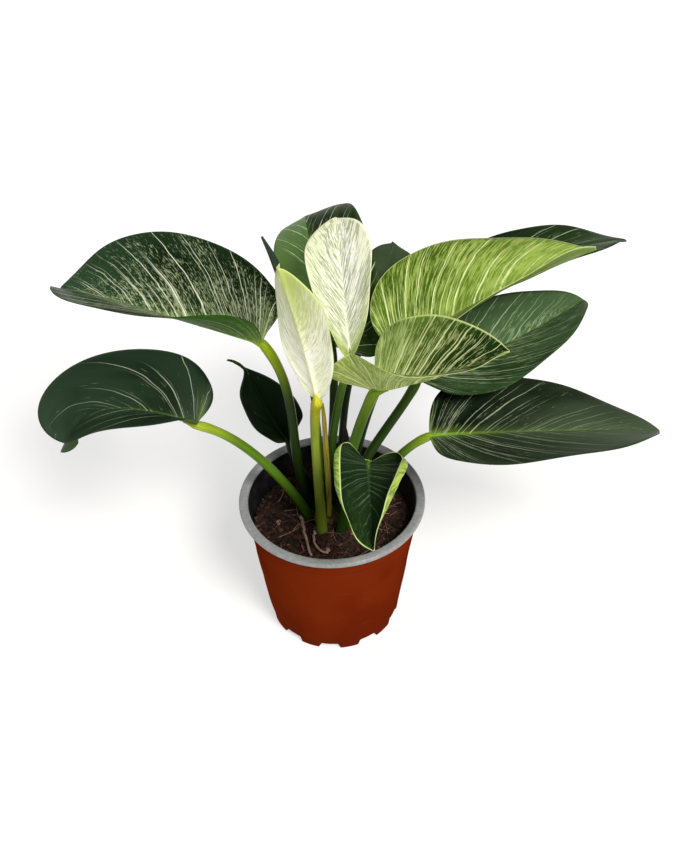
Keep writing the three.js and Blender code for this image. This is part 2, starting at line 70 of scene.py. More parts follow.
# Each leaf. base: where stalk and blade meet. length, half_width: the blade's.
# pitch, roll, folds (left half, right half): each from base to tip, sooner or later by its power.
# yaw, bend, hook: the heading at the base, its turn along the blade and its turn near the tip.
# curl: rolls each half on towards its margin; hem: rolls it over tightly from that share of the width on.
# lobe: how far each half reaches back behind the stalk. widest, tip_taper: the outline.
# sweep, lean: the slant of the side veins.
# stalk: its angle on the outer or inner ring, its two Bezier handles and its end radii.
LEAVES = {
    "left_upper": dict(
        base=(-42, 20, 229), length=169, half_width=56, pitch=(8, -20), pitch_power=1.5, yaw=163, bend=-26,
        roll=(-28, 0), folds=((90, 36), (54, 40)), fold_power=2.2, curl=(-4, 1), lobe=(0, 11), widest=0.68,
        stalk=dict(angle=152, handles=((-32, 14, 137), (-15, 9, 195)), radius=(3.6, 3.2))),
    "left_lower": dict(
        base=(-88, 2, 177), length=112, half_width=44, pitch=(19, -92), pitch_power=1.8, yaw=173, bend=-15,
        roll=(10, -39), folds=((45, 33), (47, 94)), fold_power=1.2, curl=(-18, 5), lobe=(1, 7),
        tip_taper=-0.4, sweep=3.4, lean=0.4,
        stalk=dict(angle=180, handles=((-32, 1, 126), (-59, 8, 162)), radius=(3.5, 3))),
    "back_left_small": dict(
        base=(-29, 22, 141), length=87, half_width=22, pitch=(9, 15), pitch_power=0.4, yaw=124, bend=-28,
        hook=93, roll=(-9, 5), folds=((38, 15), (43, 5)), curl=(7, -10), lobe=(2, -1), widest=0.6,
        tip_taper=6.5,
        stalk=dict(angle=124, handles=((-14, 20, 107), (-27, 19, 124)), radius=(3, 2.2))),
    "cream_left": dict(
        base=(-7, -7, 201), length=121, half_width=22, pitch=(80, 73), yaw=-135, bend=0,
        roll=(17, 2), folds=((8, 23), (-11, 49)), curl=(-12, -14), lobe=(-3, -4), widest=1.33,
        stalk=dict(angle=-118, handles=((-8, -6, 123), (-12, 18, 173)), radius=(3.6, 3.6))),
    "cream_center": dict(
        base=(15, 17, 217), length=96, half_width=23, pitch=(59, 16), pitch_power=2.1, yaw=99, bend=-5,
        roll=(-8, -6), folds=((42, -8), (36, 18)), fold_power=1.2, curl=(1, 8), lobe=(2, -1), widest=1.45,
        tip_taper=0.6, sweep=2.8, lean=0.5,
        stalk=dict(angle=100, inner=True, handles=((-1, 9, 140), (4, 0, 192)), radius=(3, 2.7))),
    "back_arching": dict(
        base=(3, 43, 208), length=167, half_width=42, pitch=(84, -56), pitch_power=0.8, yaw=112, bend=-30,
        roll=(-22, 14), folds=((-57, -29), (29, 20)), fold_power=0.66, curl=(-9, -8), lobe=(1, 6),
        widest=0.6, tip_taper=-0.6, sweep=2.8, lean=0.4,
        stalk=dict(angle=96, handles=((0, 27, 132), (6, 14, 181)), radius=(3.4, 3))),
    "back_small": dict(
        base=(30, 51, 213), length=86, half_width=24, pitch=(29, -4), yaw=70, bend=14,
        roll=(4, 3), folds=((11, -7), (17, -9)), curl=(-7, 0), lobe=(0, 1),
        stalk=dict(angle=68, handles=((8, 26, 129), (8, 40, 190)), radius=(3, 2.4))),
    "lime_upper": dict(
        base=(42, 12, 225), length=169, half_width=52, pitch=(13, -1), yaw=32, bend=-3,
        roll=(-1, -17), folds=((53, 15), (36, 32)), curl=(-16, 8), lobe=(4, 2),
        sweep=2.6, lean=0.35,
        stalk=dict(angle=-10, inner=True, handles=((11, 2, 138), (22, 0, 190)), radius=(3, 3))),
    "lime_front": dict(
        base=(29, -17, 217), length=96, half_width=40, pitch=(24, 36), yaw=-19, bend=3,
        roll=(2, 8), folds=((44, 60), (85, 35)), fold_power=2.5, curl=(9, -4), lobe=(-1, 26),
        sweep=3.2, lean=0.45,
        stalk=dict(angle=-44, handles=((4, -7, 127), (19, -13, 189)), radius=(3.6, 3.6))),
    "right_back_dark": dict(
        base=(82, 111, 192), length=143, half_width=43, pitch=(33, -5), yaw=9, bend=0, fold_power=1.2,
        roll=(-8, -15), folds=((8, -4), (11, 19)), curl=(13, -10), lobe=(16, -4), widest=1.03,
        tip_taper=0.2, sweep=3.0, lean=0.4,
        stalk=dict(angle=40, handles=((16, 16, 146), (38, 62, 192)), radius=(3.2, 2.6))),
    "right_middle": dict(
        base=(60, 24, 192), length=139, half_width=45, pitch=(-9, 16), pitch_power=0.7, yaw=30, bend=-3,
        roll=(5, -13), folds=((13, 14), (6, 19)), curl=(0, -1), lobe=(4, -4), widest=0.91,
        tip_taper=-0.6, sweep=3.0, lean=0.42,
        stalk=dict(angle=12, handles=((10, 3, 133), (46, 16, 161)), radius=(3.5, 3.2))),
    "right_lower": dict(
        base=(66, -5, 167), length=170, half_width=46, pitch=(-1, -18), yaw=3, bend=15,
        roll=(0, -7), folds=((28, 6), (7, 20)), curl=(-1, 4), lobe=(-1, -1),
        sweep=2.9, lean=0.45,
        stalk=dict(angle=-16, handles=((26, -4, 117), (45, 0, 152)), radius=(3.4, 2.8))),
    "front_small": dict(
        base=(24, -34, 171), length=70, half_width=33, pitch=(7, -25), yaw=-91, bend=2,
        roll=(-3, 8), folds=((2, 66), (27, 36)), curl=(12, 6), lobe=(8, 9), hem=(0.72, 150),
        sweep=3.0, lean=0.4,
        stalk=dict(angle=-72, handles=((9, -18, 117), (17, -17, 150)), radius=(3.2, 2.6))),
}

# Shoots: the points that their curve goes through and the radii along it. Roots have their points in plan.
YOUNG_STALK = dict(
    path=((-6, 0, 93.4), (-7, 6, 125), (-8, 12, 160), (-11, 14, 195), (-14, 15, 222)),
    radii=(2, 2.2, 2.1, 2, 2))
YOUNG_LEAF = dict(
    path=((-14.1, 15, 222.3), (-17, 15, 242), (-23, 15, 268), (-30.4, 15, 295), (-37.3, 15, 313)),
    radii=(2, 3.2, 3.6, 2.6, 0.8))
SHEATHS = {
    "front": dict(
        path=((-2.4, -5.4, 93.3), (-2, -6, 120), (-3, -4, 156), (-3.7, 0, 181), (-4.4, 3, 191)),
        radii=(2, 2, 2, 1.4, 0.8)),
    "back": dict(
        path=((5.3, 8.3, 93.3), (7.5, 10, 120), (10.8, 12, 148), (9.5, 12, 167)),
        radii=(1.6, 2.4, 2.2, 0.8)),
}
SHEATH_FLATNESS = 0.45
ROOTS = {
    "left": dict(path=((-22, 0), (-20.5, -12), (-18, -24), (-15.5, -38)), radius=1.2),
    "front": dict(path=((-12.5, -14.5), (-13.5, -22), (-10.5, -31), (-4, -36)), radius=1.0),
}

# ---- arrays ---------------------------------------------------------------------------------

NOISE_SIDE = 64


def smooth(low, high, x):
    """0 below low, 1 above high, and the cubic 3t^2 - 2t^3 between."""
    t = np.clip((x - low) / (high - low), 0, 1)
    return t * t * (3 - 2 * t)


def value_noise(x, y, seed):
    """Random heights from -1 to 1 on a square lattice of side 1, blended with a smooth cubic between. The
    lattice repeats after NOISE_SIDE steps."""
    table = np.random.default_rng(seed).uniform(-1, 1, (NOISE_SIDE, NOISE_SIDE))
    column, row = np.floor(x).astype(int), np.floor(y).astype(int)
    across, up = smooth(0, 1, x - column), smooth(0, 1, y - row)

    def corner(i, j):
        return table[(column + i) % NOISE_SIDE, (row + j) % NOISE_SIDE]

    below = corner(0, 0) * (1 - across) + corner(1, 0) * across
    above = corner(0, 1) * (1 - across) + corner(1, 1) * across
    return below * (1 - up) + above * up


def unit(a):
    """Each vector of the array, at length 1."""
    return a / np.maximum(np.linalg.norm(a, axis=-1, keepdims=True), 1e-12)


def grid_normals(points):
    """Cross product of the differences along the grid's columns and rows, so that it points to the side
    from which columns run left to right while rows run away."""
    normals = unit(np.cross(np.gradient(points, axis=1), np.gradient(points, axis=0)))
    normals[0], normals[-1] = normals[1].mean(0), normals[-2].mean(0)
    return unit(normals)


def bezier(ends, handles, t):
    """Cubic Bezier through both ends, pulled by both handles, at t."""
    a, d = np.array(ends, float)
    b, c = np.array(handles, float)
    t = np.asarray(t, float)[:, None]
    return (1 - t) ** 3 * a + 3 * (1 - t) ** 2 * t * b + 3 * (1 - t) * t * t * c + t ** 3 * d


def through(points, t):
    """Smooth curve through the points at t, from 0 to 1: Catmull-Rom, with one more point at each end that
    carries the last step on."""
    p = np.array(points, float)
    p = np.vstack([2 * p[0] - p[1], p, 2 * p[-1] - p[-2]])
    at = np.asarray(t, float) * (len(points) - 1)
    k = np.minimum(at.astype(int), len(points) - 2)
    f = (at - k)[:, None]
    a, b, c, d = p[k], p[k + 1], p[k + 2], p[k + 3]
    bent = 2 * b + (c - a) * f + (2 * a - 5 * b + 4 * c - d) * f ** 2 + (3 * b - a - 3 * c + d) * f ** 3
    return 0.5 * bent


def tube(path, radii, sides, across=(0, 1, 0)):
    """Rings round a path: centre + radius (cos a side + sin a up), where side is `across` made square to
    the path and up completes the frame. radii is (points) or (points, sides + 1). The rings start and end
    in the path's own end points, so that the tube is closed."""
    path = np.asarray(path, float)
    along = unit(np.gradient(path, axis=0))
    across = np.array(across, float)
    side = unit(across - (along @ across)[:, None] * along)
    up = np.cross(along, side)
    a = np.linspace(0, 2 * np.pi, sides + 1)[None, :, None]
    radii = np.asarray(radii, float)
    radii = radii[:, None] if radii.ndim == 1 else radii
    rings = path[:, None] + radii[..., None] * (np.cos(a) * side[:, None] + np.sin(a) * up[:, None])
    first, last = (np.repeat(path[k][None, None], sides + 1, 1) for k in (0, -1))
    return np.concatenate([first, rings, last])


# ---- pieces ---------------------------------------------------------------------------------

# Closest that two vertices may lie, and shortest that an edge may be, in metres.
MERGE_DISTANCE = 2e-7
SHORTEST_EDGE = 1e-7


def grid_faces(rows, columns):
    """Quads of a grid of points numbered row by row."""
    start = (np.arange(rows - 1)[:, None] * columns + np.arange(columns - 1)[None, :]).ravel()
    return np.stack([start, start + 1, start + columns + 1, start + columns], 1)


def in_scene(name, data):
    """A new object in the scene, at the origin."""
    made = bpy.data.objects.new(name, data)
    bpy.context.scene.collection.objects.link(made)
    return made


def piece_from_grid(name, points, materials, nodes, face_material=None, uv=None):
    """A closed piece from a grid of points in mm. Each grid point's row and column share is its UV unless
    uv is given. Doubled seams and poles are merged, faces are shaded smooth."""
    rows, columns = points.shape[:2]
    faces = grid_faces(rows, columns)
    if uv is None:
        u, v = np.meshgrid(np.linspace(0, 1, rows), np.linspace(0, 1, columns), indexing="ij")
        uv = np.stack([u, v], -1)
    return piece(name, points.reshape(-1, 3), faces, materials, nodes, face_material, uv.reshape(-1, 2))


def piece(name, points, faces, materials, nodes=(), face_material=None, uv=None, tint=None):
    """A smooth mesh from points in mm and faces of equal length, with doubled points merged. It rides on the
    one body and replaces the nodes. tint is a number from 0 to 1 for each point, kept as an attribute."""
    mesh = bpy.data.meshes.new(name)
    mesh.from_pydata((np.asarray(points) * MM).tolist(), [], np.asarray(faces).tolist())
    if uv is not None:
        corner = np.zeros(len(mesh.loops), int)
        mesh.loops.foreach_get("vertex_index", corner)
        mesh.uv_layers.new(name="UVMap").data.foreach_set("uv", uv[corner].astype(np.float32).ravel())
    if tint is not None:
        mesh.attributes.new("tint", "FLOAT", "POINT").data.foreach_set("value", tint.astype(np.float32))
    if face_material is not None:
        mesh.polygons.foreach_set("material_index", np.asarray(face_material, np.int32))
    for material in materials:
        mesh.materials.append(material)
    merged = bmesh.new()
    merged.from_mesh(mesh)
    bmesh.ops.remove_doubles(merged, verts=merged.verts, dist=MERGE_DISTANCE)
    bmesh.ops.dissolve_degenerate(merged, edges=merged.edges, dist=SHORTEST_EDGE)
    merged.to_mesh(mesh)
    merged.free()
    mesh.shade_smooth()
    made = in_scene(name, mesh)
    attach(made, "root")
    if nodes:
        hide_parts(*nodes)
    return made


# ---- materials ------------------------------------------------------------------------------


def linear(colour):
    """An sRGB hex value as a linear RGBA colour."""
    channel = np.array([int(colour[i:i + 2], 16) for i in (0, 2, 4)]) / 255
    value = np.where(channel <= 0.04045, channel / 12.92, ((channel + 0.055) / 1.055) ** 2.4)
    return (*(float(c) for c in value), 1.0)


# Pattern scales: on Object coordinates a scale of 1000 is a pattern of 1 mm. A blade's patterns use its
# own flat coordinates in mm, so a scale of 0.05 is a pattern of 20 mm.
# Settings that many nodes share. Map Range's first five inputs are the value, from low, from high, to
# start and to end; Mix's 0, 6 and 7 are the share, the colour at 0 and the colour at 1.
SOFTLY = dict(interpolation_type="SMOOTHSTEP")
COLOURS = dict(out=2, data_type="RGBA")
TIMES = dict(operation="MULTIPLY")
TIMES_PLUS = dict(operation="MULTIPLY_ADD")


def add(tree, kind, inputs=(), out=0, **settings):
    """Adds a node and returns its output. settings are its properties. inputs lists values for the first
    sockets, or maps a socket's name or number to its value: a number, a hex colour or another node's
    output. out is the output's number or name, and None returns them all."""
    made = tree.nodes.new("ShaderNode" + kind)
    for key, value in settings.items():
        setattr(made, key, value)
    for key, value in inputs.items() if isinstance(inputs, dict) else enumerate(inputs):
        if isinstance(value, bpy.types.NodeSocket):
            tree.links.new(value, made.inputs[key])
        else:
            made.inputs[key].default_value = linear(value) if isinstance(value, str) else value
    return made.outputs if out is None else made.outputs[out]


def surface_of(name, roughness, specular):
    """A material, its node tree and its Principled surface. What is the same all over is set on the
    surface's own sockets."""
    material = bpy.data.materials.new(name)
    material.use_nodes = True
    shader = material.node_tree.nodes["Principled BSDF"]
    shader.inputs["Roughness"].default_value = roughness
    shader.inputs["Specular IOR Level"].default_value = specular
    return material, material.node_tree, shader


def finish(tree, shader, colour, relief, depth, strength):
    """Joins the surface to its colour and to its relief, a bump up to depth mm high."""
    bump = add(tree, "Bump", {"Height": relief, "Distance": depth * MM, "Strength": strength})
    tree.links.new(colour, shader.inputs["Base Color"])
    tree.links.new(bump, shader.inputs["Normal"])


# ---- leaf blades ----------------------------------------------------------------------------

VEIN_ROWS = 150
HALF_COLUMNS = 22
BLADE_THICKNESS = 0.55
MARGIN_THICKNESS = 0.25
RIB_DEPTH = 1.4
RIB_WIDTH = 1.7
MIDRIB_STEPS = 200
LOBE_AT = 0.09
GROOVE_DEPTH = 0.55
GROOVE_WIDTH = 1.3
SIDE_VEINS = 9
PUFF_HEIGHT = 0.35
MARGIN_WAVES = 3.5
WAVE_HEIGHT = 0.7
UNEVENNESS = 0.5
# The halves and the pinstripe sets take their patterns this far apart, so that they differ.
HALVES_APART = 613.7
SETS_APART = 31.7
# Painted width of the midrib on the upper skin and the underside, and where the margin's colour starts and
# is full, in mm.
MIDRIB_PAINT = (1.6, 2.2)
MARGIN_PAINT = (1.3, 0.5)


def midrib(leaf, x):
    """The midrib at arc length x: its place and the frame (left, up) that travels along it. Pitch and yaw
    run from base to tip, the place is the running sum of the heading, and before the base it goes on
    straight back."""
    length = leaf["length"]

    def heading(t):
        pitch = np.radians(leaf["pitch"][0] + np.diff(leaf["pitch"])[0] * t ** leaf.get("pitch_power", 1))
        yaw = np.radians(leaf["yaw"] + leaf["bend"] * t + leaf.get("hook", 0) * t ** 6)
        along = np.stack([np.cos(pitch) * np.cos(yaw), np.cos(pitch) * np.sin(yaw), np.sin(pitch)], -1)
        return along, yaw

    fine = np.linspace(0, 1, MIDRIB_STEPS + 1)
    step = heading(fine)[0] * length / MIDRIB_STEPS
    track = np.array(leaf["base"], float) + np.vstack([np.zeros(3), np.cumsum((step[1:] + step[:-1]) / 2, 0)])
    t = np.clip(x / length, 0, 1)
    along, yaw = heading(t)
    place = np.stack([np.interp(t, fine, track[:, k]) for k in range(3)], -1)
    place = place + np.minimum(x, 0)[..., None] * along
    level = np.stack([-np.sin(yaw), np.cos(yaw), np.zeros_like(yaw)], -1)
    normal = np.cross(along, level)
    roll = np.radians(leaf["roll"][0] + np.diff(leaf["roll"])[0] * t)[..., None]
    left = level * np.cos(roll) + normal * np.sin(roll)
    up = normal * np.cos(roll) - level * np.sin(roll)
    return place, left, up


def flat_blade(leaf, s, w):
    """Flat coordinates of side vein s (0 notch, 1 tip) at w (1 left margin, 0 midrib, -1 right margin).
    A vein is a quadratic Bezier from the midrib at L s^sweep out to the margin at L (1 - cos pi s) / 2, less
    the lobe near the notch, and leans towards the tip by `lean`; the margin's distance is a power of
    sin(pi s^widest)."""
    length = leaf["length"]
    lobe = np.where(w > 0, leaf["lobe"][0], leaf["lobe"][1])
    notch = s / LOBE_AT
    edge_x = length * (1 - np.cos(np.pi * s)) / 2 - lobe * notch * np.exp(1 - notch)
    fall = 0.85 + 0.95 * s ** 4 + leaf.get("tip_taper", 0) * s ** 3
    swell = np.maximum(np.sin(np.pi * s ** leaf.get("widest", 0.8)), 0)
    edge_y = leaf["half_width"] * swell ** fall
    root_x = length * s ** leaf.get("sweep", 2.5)
    v = np.abs(w)
    lean = leaf.get("lean", 0.3)
    bend_x, bend_y = root_x + lean * (edge_x - root_x), (0.74 - 0.4 * lean) * edge_y
    x = (1 - v) ** 2 * root_x + 2 * v * (1 - v) * bend_x + v * v * edge_x
    y = 2 * v * (1 - v) * bend_y + v * v * edge_y
    return x, y, edge_y


def blade_surface(leaf, s, w):
    """The bent blade: each half turns off the midrib's plane by its fold, which runs from base to tip, and
    curls on by curl / half_width for each mm towards the margin. From the hem's start it curls on by the
    hem's angle as well, less where the blade is narrow. Both stretches are arcs of a circle."""
    x, y, edge_y = flat_blade(leaf, s, w)
    place, left, up = midrib(leaf, x)
    t = np.clip(x / leaf["length"], 0, 1)
    near, far = (np.where(w > 0, *(half[k] for half in leaf["folds"])) for k in (0, 1))
    fold = np.radians(far + (near - far) * (1 - t) ** leaf.get("fold_power", 1))
    curl = np.radians(np.where(w > 0, *leaf["curl"]).astype(float))
    curl = np.where(curl == 0, 1e-6, curl) / leaf["half_width"]
    hem_start, hem_angle = leaf.get("hem", (1, 0))
    flat_y = np.minimum(y, hem_start * edge_y)
    at_hem = fold + curl * flat_y
    out = (np.sin(at_hem) - np.sin(fold)) / curl
    rise = (np.cos(fold) - np.cos(at_hem)) / curl
    if hem_angle:
        tight = curl + np.radians(hem_angle) / ((1 - hem_start) * leaf["half_width"])
        end = at_hem + tight * (y - flat_y)
        out = out + (np.sin(end) - np.sin(at_hem)) / tight
        rise = rise + (np.cos(at_hem) - np.cos(end)) / tight
    return place + (np.sign(w) * out)[..., None] * left + rise[..., None] * up, y


def blade_relief(s, w, y, seed):
    """Height in mm over the smooth blade: the midrib's groove, a shallow crease at each main side vein
    with the skin puffed between, a margin that waves, and a slow unevenness."""
    v = np.abs(w)
    groove = -GROOVE_DEPTH * np.exp(-(y / GROOVE_WIDTH) ** 2) * (1 - 0.7 * s)
    turn = SIDE_VEINS * s ** 0.9 + value_noise(3 * s, w + 5, seed) * 0.25 + np.where(w > 0, 0.4, 0)
    puff = PUFF_HEIGHT * (np.abs(np.sin(np.pi * turn)) ** 0.7 - 0.6) * np.sin(np.pi * v ** 0.7)
    wave = WAVE_HEIGHT * v ** 3 * np.sin(2 * np.pi * MARGIN_WAVES * s + seed + 2 * np.sign(w))
    slow = UNEVENNESS * value_noise(4 * s + seed, 2.5 * w + 7, seed + 1) * v
    ends = smooth(0, 0.06, s) * smooth(1, 0.94, s)
    return (groove + puff + wave + slow) * ends


def blade(name, leaf, materials, seed):
    """The blade as one closed sheet: the upper skin from the left margin to the right, then the lower
    skin back again, with the midrib's ridge under it."""
    columns = (np.arange(HALF_COLUMNS + 1) / HALF_COLUMNS) ** 1.25
    w = np.concatenate([columns[::-1], -columns[1:]])[None, :]
    s = (np.linspace(0, 1, VEIN_ROWS + 1) ** 1.15)[:, None]
    s, w = np.broadcast_arrays(s, w)
    smooth_top, y = blade_surface(leaf, s, w)
    normals = grid_normals(smooth_top)
    top = smooth_top + normals * blade_relief(s, w, y, seed)[..., None]
    ends = smooth(0, 0.02, s) * smooth(1, 0.985, s)
    sheet = BLADE_THICKNESS + (MARGIN_THICKNESS - BLADE_THICKNESS) * np.abs(w) ** 6
    rib = RIB_DEPTH * (1 - 0.75 * s) * np.exp(-(y / RIB_WIDTH) ** 2)
    under = top - normals * ((sheet + rib) * ends)[..., None]
    points = np.concatenate([top, under[:, ::-1], top[:, :1]], 1)
    uv = np.stack([s, (w + 1) / 2], -1)
    uv = np.concatenate([uv, uv[:, ::-1], uv[:, :1]], 1)
    is_under = np.zeros(points.shape[1] - 1, int)
    is_under[w.shape[1]:-1] = 1
    face_material = np.tile(is_under, VEIN_ROWS)
    return piece_from_grid(f"skin_{name}", points, materials, [f"blade_{name}"], face_material, uv)


def pinstripes(tree, along, place, v, seed, line):
    """Mask of thin lines along the side veins. Points at uneven steps, one in each `spacing` mm of the
    along axis, carry a line each; its width, how far it reaches from the midrib and whether it shows come
    from the point's own random colour. Each line tapers towards the margin and is broken into dashes."""
    step = add(tree, "Math", [along, 1 / line["spacing"], seed], **TIMES_PLUS)
    cell = add(tree, "TexVoronoi", {"W": step, "Scale": 1.0, "Randomness": 0.75}, None,
               voronoi_dimensions="1D")
    random = add(tree, "SeparateColor", [cell["Color"]], None)
    width = line["width"] / line["spacing"]
    half = add(tree, "Math", [random[0], 0.45 * width, 0.3 * width], **TIMES_PLUS)
    taper = add(tree, "MapRange", [v, 1.3, 0.0, 0.35, 1.0], **SOFTLY)
    half = add(tree, "Math", [half, taper], **TIMES)
    core = add(tree, "Math", [half, 0.25], **TIMES)
    mark = add(tree, "MapRange", [cell["Distance"], half, core], **SOFTLY)
    stop = add(tree, "Math", [random[1], 0.6 * line["reach"], 0.6 * line["reach"]], **TIMES_PLUS)
    fade_from = add(tree, "Math", [stop, 0.45], operation="SUBTRACT")
    fade = add(tree, "MapRange", [v, stop, fade_from], **SOFTLY)
    shown = add(tree, "Math", [random[2], line["shown"]], operation="LESS_THAN")
    dash_at = add(tree, "VectorMath", [place, (0.3, 0.14, 1.0)], **TIMES)
    dash = add(tree, "TexNoise", {"Vector": dash_at, "Scale": 1.0, "Detail": 4.0, "Roughness": 0.65})
    broken = add(tree, "MapRange", [dash, 0.36, 0.54, 1 - line["breaks"], 1.0], **SOFTLY)
    for share in (fade, shown, broken, line["strength"]):
        mark = add(tree, "Math", [mark, share], **TIMES)
    return mark


def fleck_mask(tree, place, cut, fleck):
    """Mask of fine broken streaks: noise `fine` mm wide across the veins, drawn out to `drawn` mm along
    them, and shown where it is over the cut level."""
    at = add(tree, "VectorMath", [place, (1 / fleck["fine"], 1 / fleck["drawn"], 1.0)], **TIMES)
    height = add(tree, "TexNoise", {"Vector": at, "Scale": 1.0, "Detail": 3.0, "Roughness": 0.6})
    low = add(tree, "Math", [cut, 0.03], operation="SUBTRACT")
    high = add(tree, "Math", [cut, 0.05], operation="ADD")
    mark = add(tree, "MapRange", [height, low, high], **SOFTLY)
    return add(tree, "Math", [mark, fleck["strength"]], **TIMES)


def blade_material(name, leaf, look, seed, under=False):
    """Living leaf skin, waxy and satin: a soft sheen over colour that lies in the flesh. ground runs from its
    first colour to its second in large soft patches, towards the tip, the margin and either side; on some
    dark leaves the drift towards the tip and to one side is a painted sheen and painted shade. flecks and
    pinstripes lie on it along the side veins; the midrib and the margin have their own colours."""
    material, tree, shader = surface_of(f"leaf_skin_{name}", 0.55 if under else 0.4,
                                        look["specular"] * (0.4 if under else 1.0))
    shader.inputs["Subsurface Weight"].default_value = look["through"]
    shader.inputs["Subsurface Scale"].default_value = 1.5 * MM
    shader.inputs["Subsurface Radius"].default_value = (1.0, 1.0, 0.7)
    uv = add(tree, "UVMap", uv_map="UVMap")
    split = add(tree, "SeparateXYZ", [uv], None)
    s = split["X"]
    w = add(tree, "Math", [split["Y"], 2.0, -1.0], **TIMES_PLUS)
    v = add(tree, "Math", [w], operation="ABSOLUTE")
    is_left = add(tree, "Math", [w, 0.0], operation="GREATER_THAN")
    across = add(tree, "Math", [w, leaf["half_width"]], **TIMES)
    length_mm = add(tree, "Math", [s, leaf["length"]], **TIMES)
    flat = add(tree, "CombineXYZ", [length_mm, across, seed])
    sway = add(tree, "TexNoise", {"Vector": flat, "Scale": 0.05})
    swayed = add(tree, "Math", [sway, look["sway"], length_mm], **TIMES_PLUS)
    along = add(tree, "Math", [is_left, HALVES_APART, swayed], **TIMES_PLUS)
    place = add(tree, "CombineXYZ", [along, across, seed])

    # ground: large patches, and a drift towards the tip, the margin and either side; on some dark leaves the
    # drift towards the tip and to one side is a painted sheen and painted shade
    patch = add(tree, "TexNoise", {"Vector": flat, "Scale": 0.035, "Detail": 3.0})
    share = add(tree, "MapRange", [patch, 0.35, 0.65, 0.0, look["patches"]], **SOFTLY)
    tip_from, tip_to = look["tip_from_to"]
    to_tip = add(tree, "MapRange", [s, tip_from, tip_to, 0.0, look["tip"]], **SOFTLY)
    to_edge = add(tree, "MapRange", [v, 0.4, 1.0, 0.0, look["edge"]], **SOFTLY)
    on_left, on_right = look["sides"]
    to_side = add(tree, "Math", [is_left, on_left - on_right, on_right], **TIMES_PLUS)
    for drift in (to_tip, to_edge, to_side):
        share = add(tree, "Math", [share, drift], operation="ADD", use_clamp=True)
    colour = add(tree, "Mix", {0: share, 6: look["ground"][0], 7: look["ground"][1]}, **COLOURS)

    # the underside's tint, beneath its pattern
    if under:
        colour = add(tree, "Mix", {0: look["under_share"], 6: colour, 7: look["under"]}, **COLOURS)

    # flecks, denser where the cut is lower: by the midrib or the margin, towards the tip and in clusters
    cluster = add(tree, "TexNoise", {"Vector": flat, "Scale": 0.08})
    cut = add(tree, "Math", [cluster, -0.24, 0.12], **TIMES_PLUS)
    level = add(tree, "MapRange", [v, 0.0, 1.0, look["cut"][0], look["cut"][1]], **SOFTLY)
    tip_level = add(tree, "MapRange", [s, 0.35, 1.0, 0.0, look["cut_tip"]], **SOFTLY)
    for more in (level, tip_level):
        cut = add(tree, "Math", [cut, more], operation="ADD")
    for fleck in look["flecks"]:
        mark = fleck_mask(tree, place, cut, fleck)
        mark = add(tree, "Math", [mark, look["fleck_shares"][under]], **TIMES)
        colour = add(tree, "Mix", {0: mark, 6: colour, 7: look["fleck"]}, **COLOURS)

    # the glow at the joint and the pale zone along the midrib
    rib_end = add(tree, "MapRange", [s, 0.05, look["rib_reach"], 1.0, 0.15], **SOFTLY)
    near_base = add(tree, "MapRange", [s, 0.02, look["base_reach"], 1.0, 0.0], **SOFTLY)
    near_rib = add(tree, "MapRange", [v, 0.9, 0.0, 0.0, look["base_glow"]], **SOFTLY)
    glow = add(tree, "Math", [near_base, near_rib], **TIMES)
    colour = add(tree, "Mix", {0: glow, 6: colour, 7: look["glow"]}, **COLOURS)
    zone = add(tree, "MapRange", [v, look["zone"], 0.0, 0.0, look["zone_strength"]], **SOFTLY)
    zone = add(tree, "Math", [zone, rib_end], **TIMES)
    colour = add(tree, "Mix", {0: zone, 6: colour, 7: look["rib"]}, **COLOURS)

    # pinstripes in two sizes
    fade_from, fade_to = look["stripes_from_to"]
    keep = add(tree, "MapRange", [s, fade_from, fade_to, 1.0, look["stripes_at_tip"]], **SOFTLY)
    keep = add(tree, "Math", [keep, look["stripes_under"] if under else 1.0], **TIMES)
    for number, line in enumerate(look["lines"]):
        mark = pinstripes(tree, along, place, v, seed + SETS_APART * (number + 1), line)
        mark = add(tree, "Math", [mark, keep], **TIMES)
        colour = add(tree, "Mix", {0: mark, 6: colour, 7: look["stripe"]}, **COLOURS)

    # the midrib and the margin
    rib_width = MIDRIB_PAINT[under] / leaf["half_width"]
    rib = add(tree, "MapRange", [v, rib_width, 0.35 * rib_width], **SOFTLY)
    rib = add(tree, "Math", [rib, rib_end], **TIMES)
    colour = add(tree, "Mix", {0: rib, 6: colour, 7: look["rib"]}, **COLOURS)
    rim_from, rim_to = (1 - paint / leaf["half_width"] for paint in MARGIN_PAINT)
    rim = add(tree, "MapRange", [v, rim_from, rim_to, 0.0, look["rim_strength"]], **SOFTLY)
    colour = add(tree, "Mix", {0: rim, 6: colour, 7: look["rim"]}, **COLOURS)

    # the skin's fine grain along the veins
    at = add(tree, "VectorMath", [place, (0.9, 0.25, 1.0)], **TIMES)
    relief = add(tree, "TexNoise", {"Vector": at, "Scale": 1.0, "Detail": 4.0, "Roughness": 0.65})
    finish(tree, shader, colour, relief, 0.12, 0.5)
    return material


def lines(spacing, width, shown, reach, strength, breaks=0.25):
    """A set of pinstripes: spacing and width in mm, the share that shows, how far they reach over the
    half-blade, how strong they are and how much the breaks between dashes take away. They are about as wide
    as they need to be to show."""
    return dict(spacing=spacing, width=width, shown=shown, reach=reach, strength=strength, breaks=breaks)


def flecks(fine, drawn, strength):
    """A set of flecks, the fine broken streaks: width and length in mm. They are about as wide as they need
    to be to show."""
    return dict(fine=fine, drawn=drawn, strength=strength)
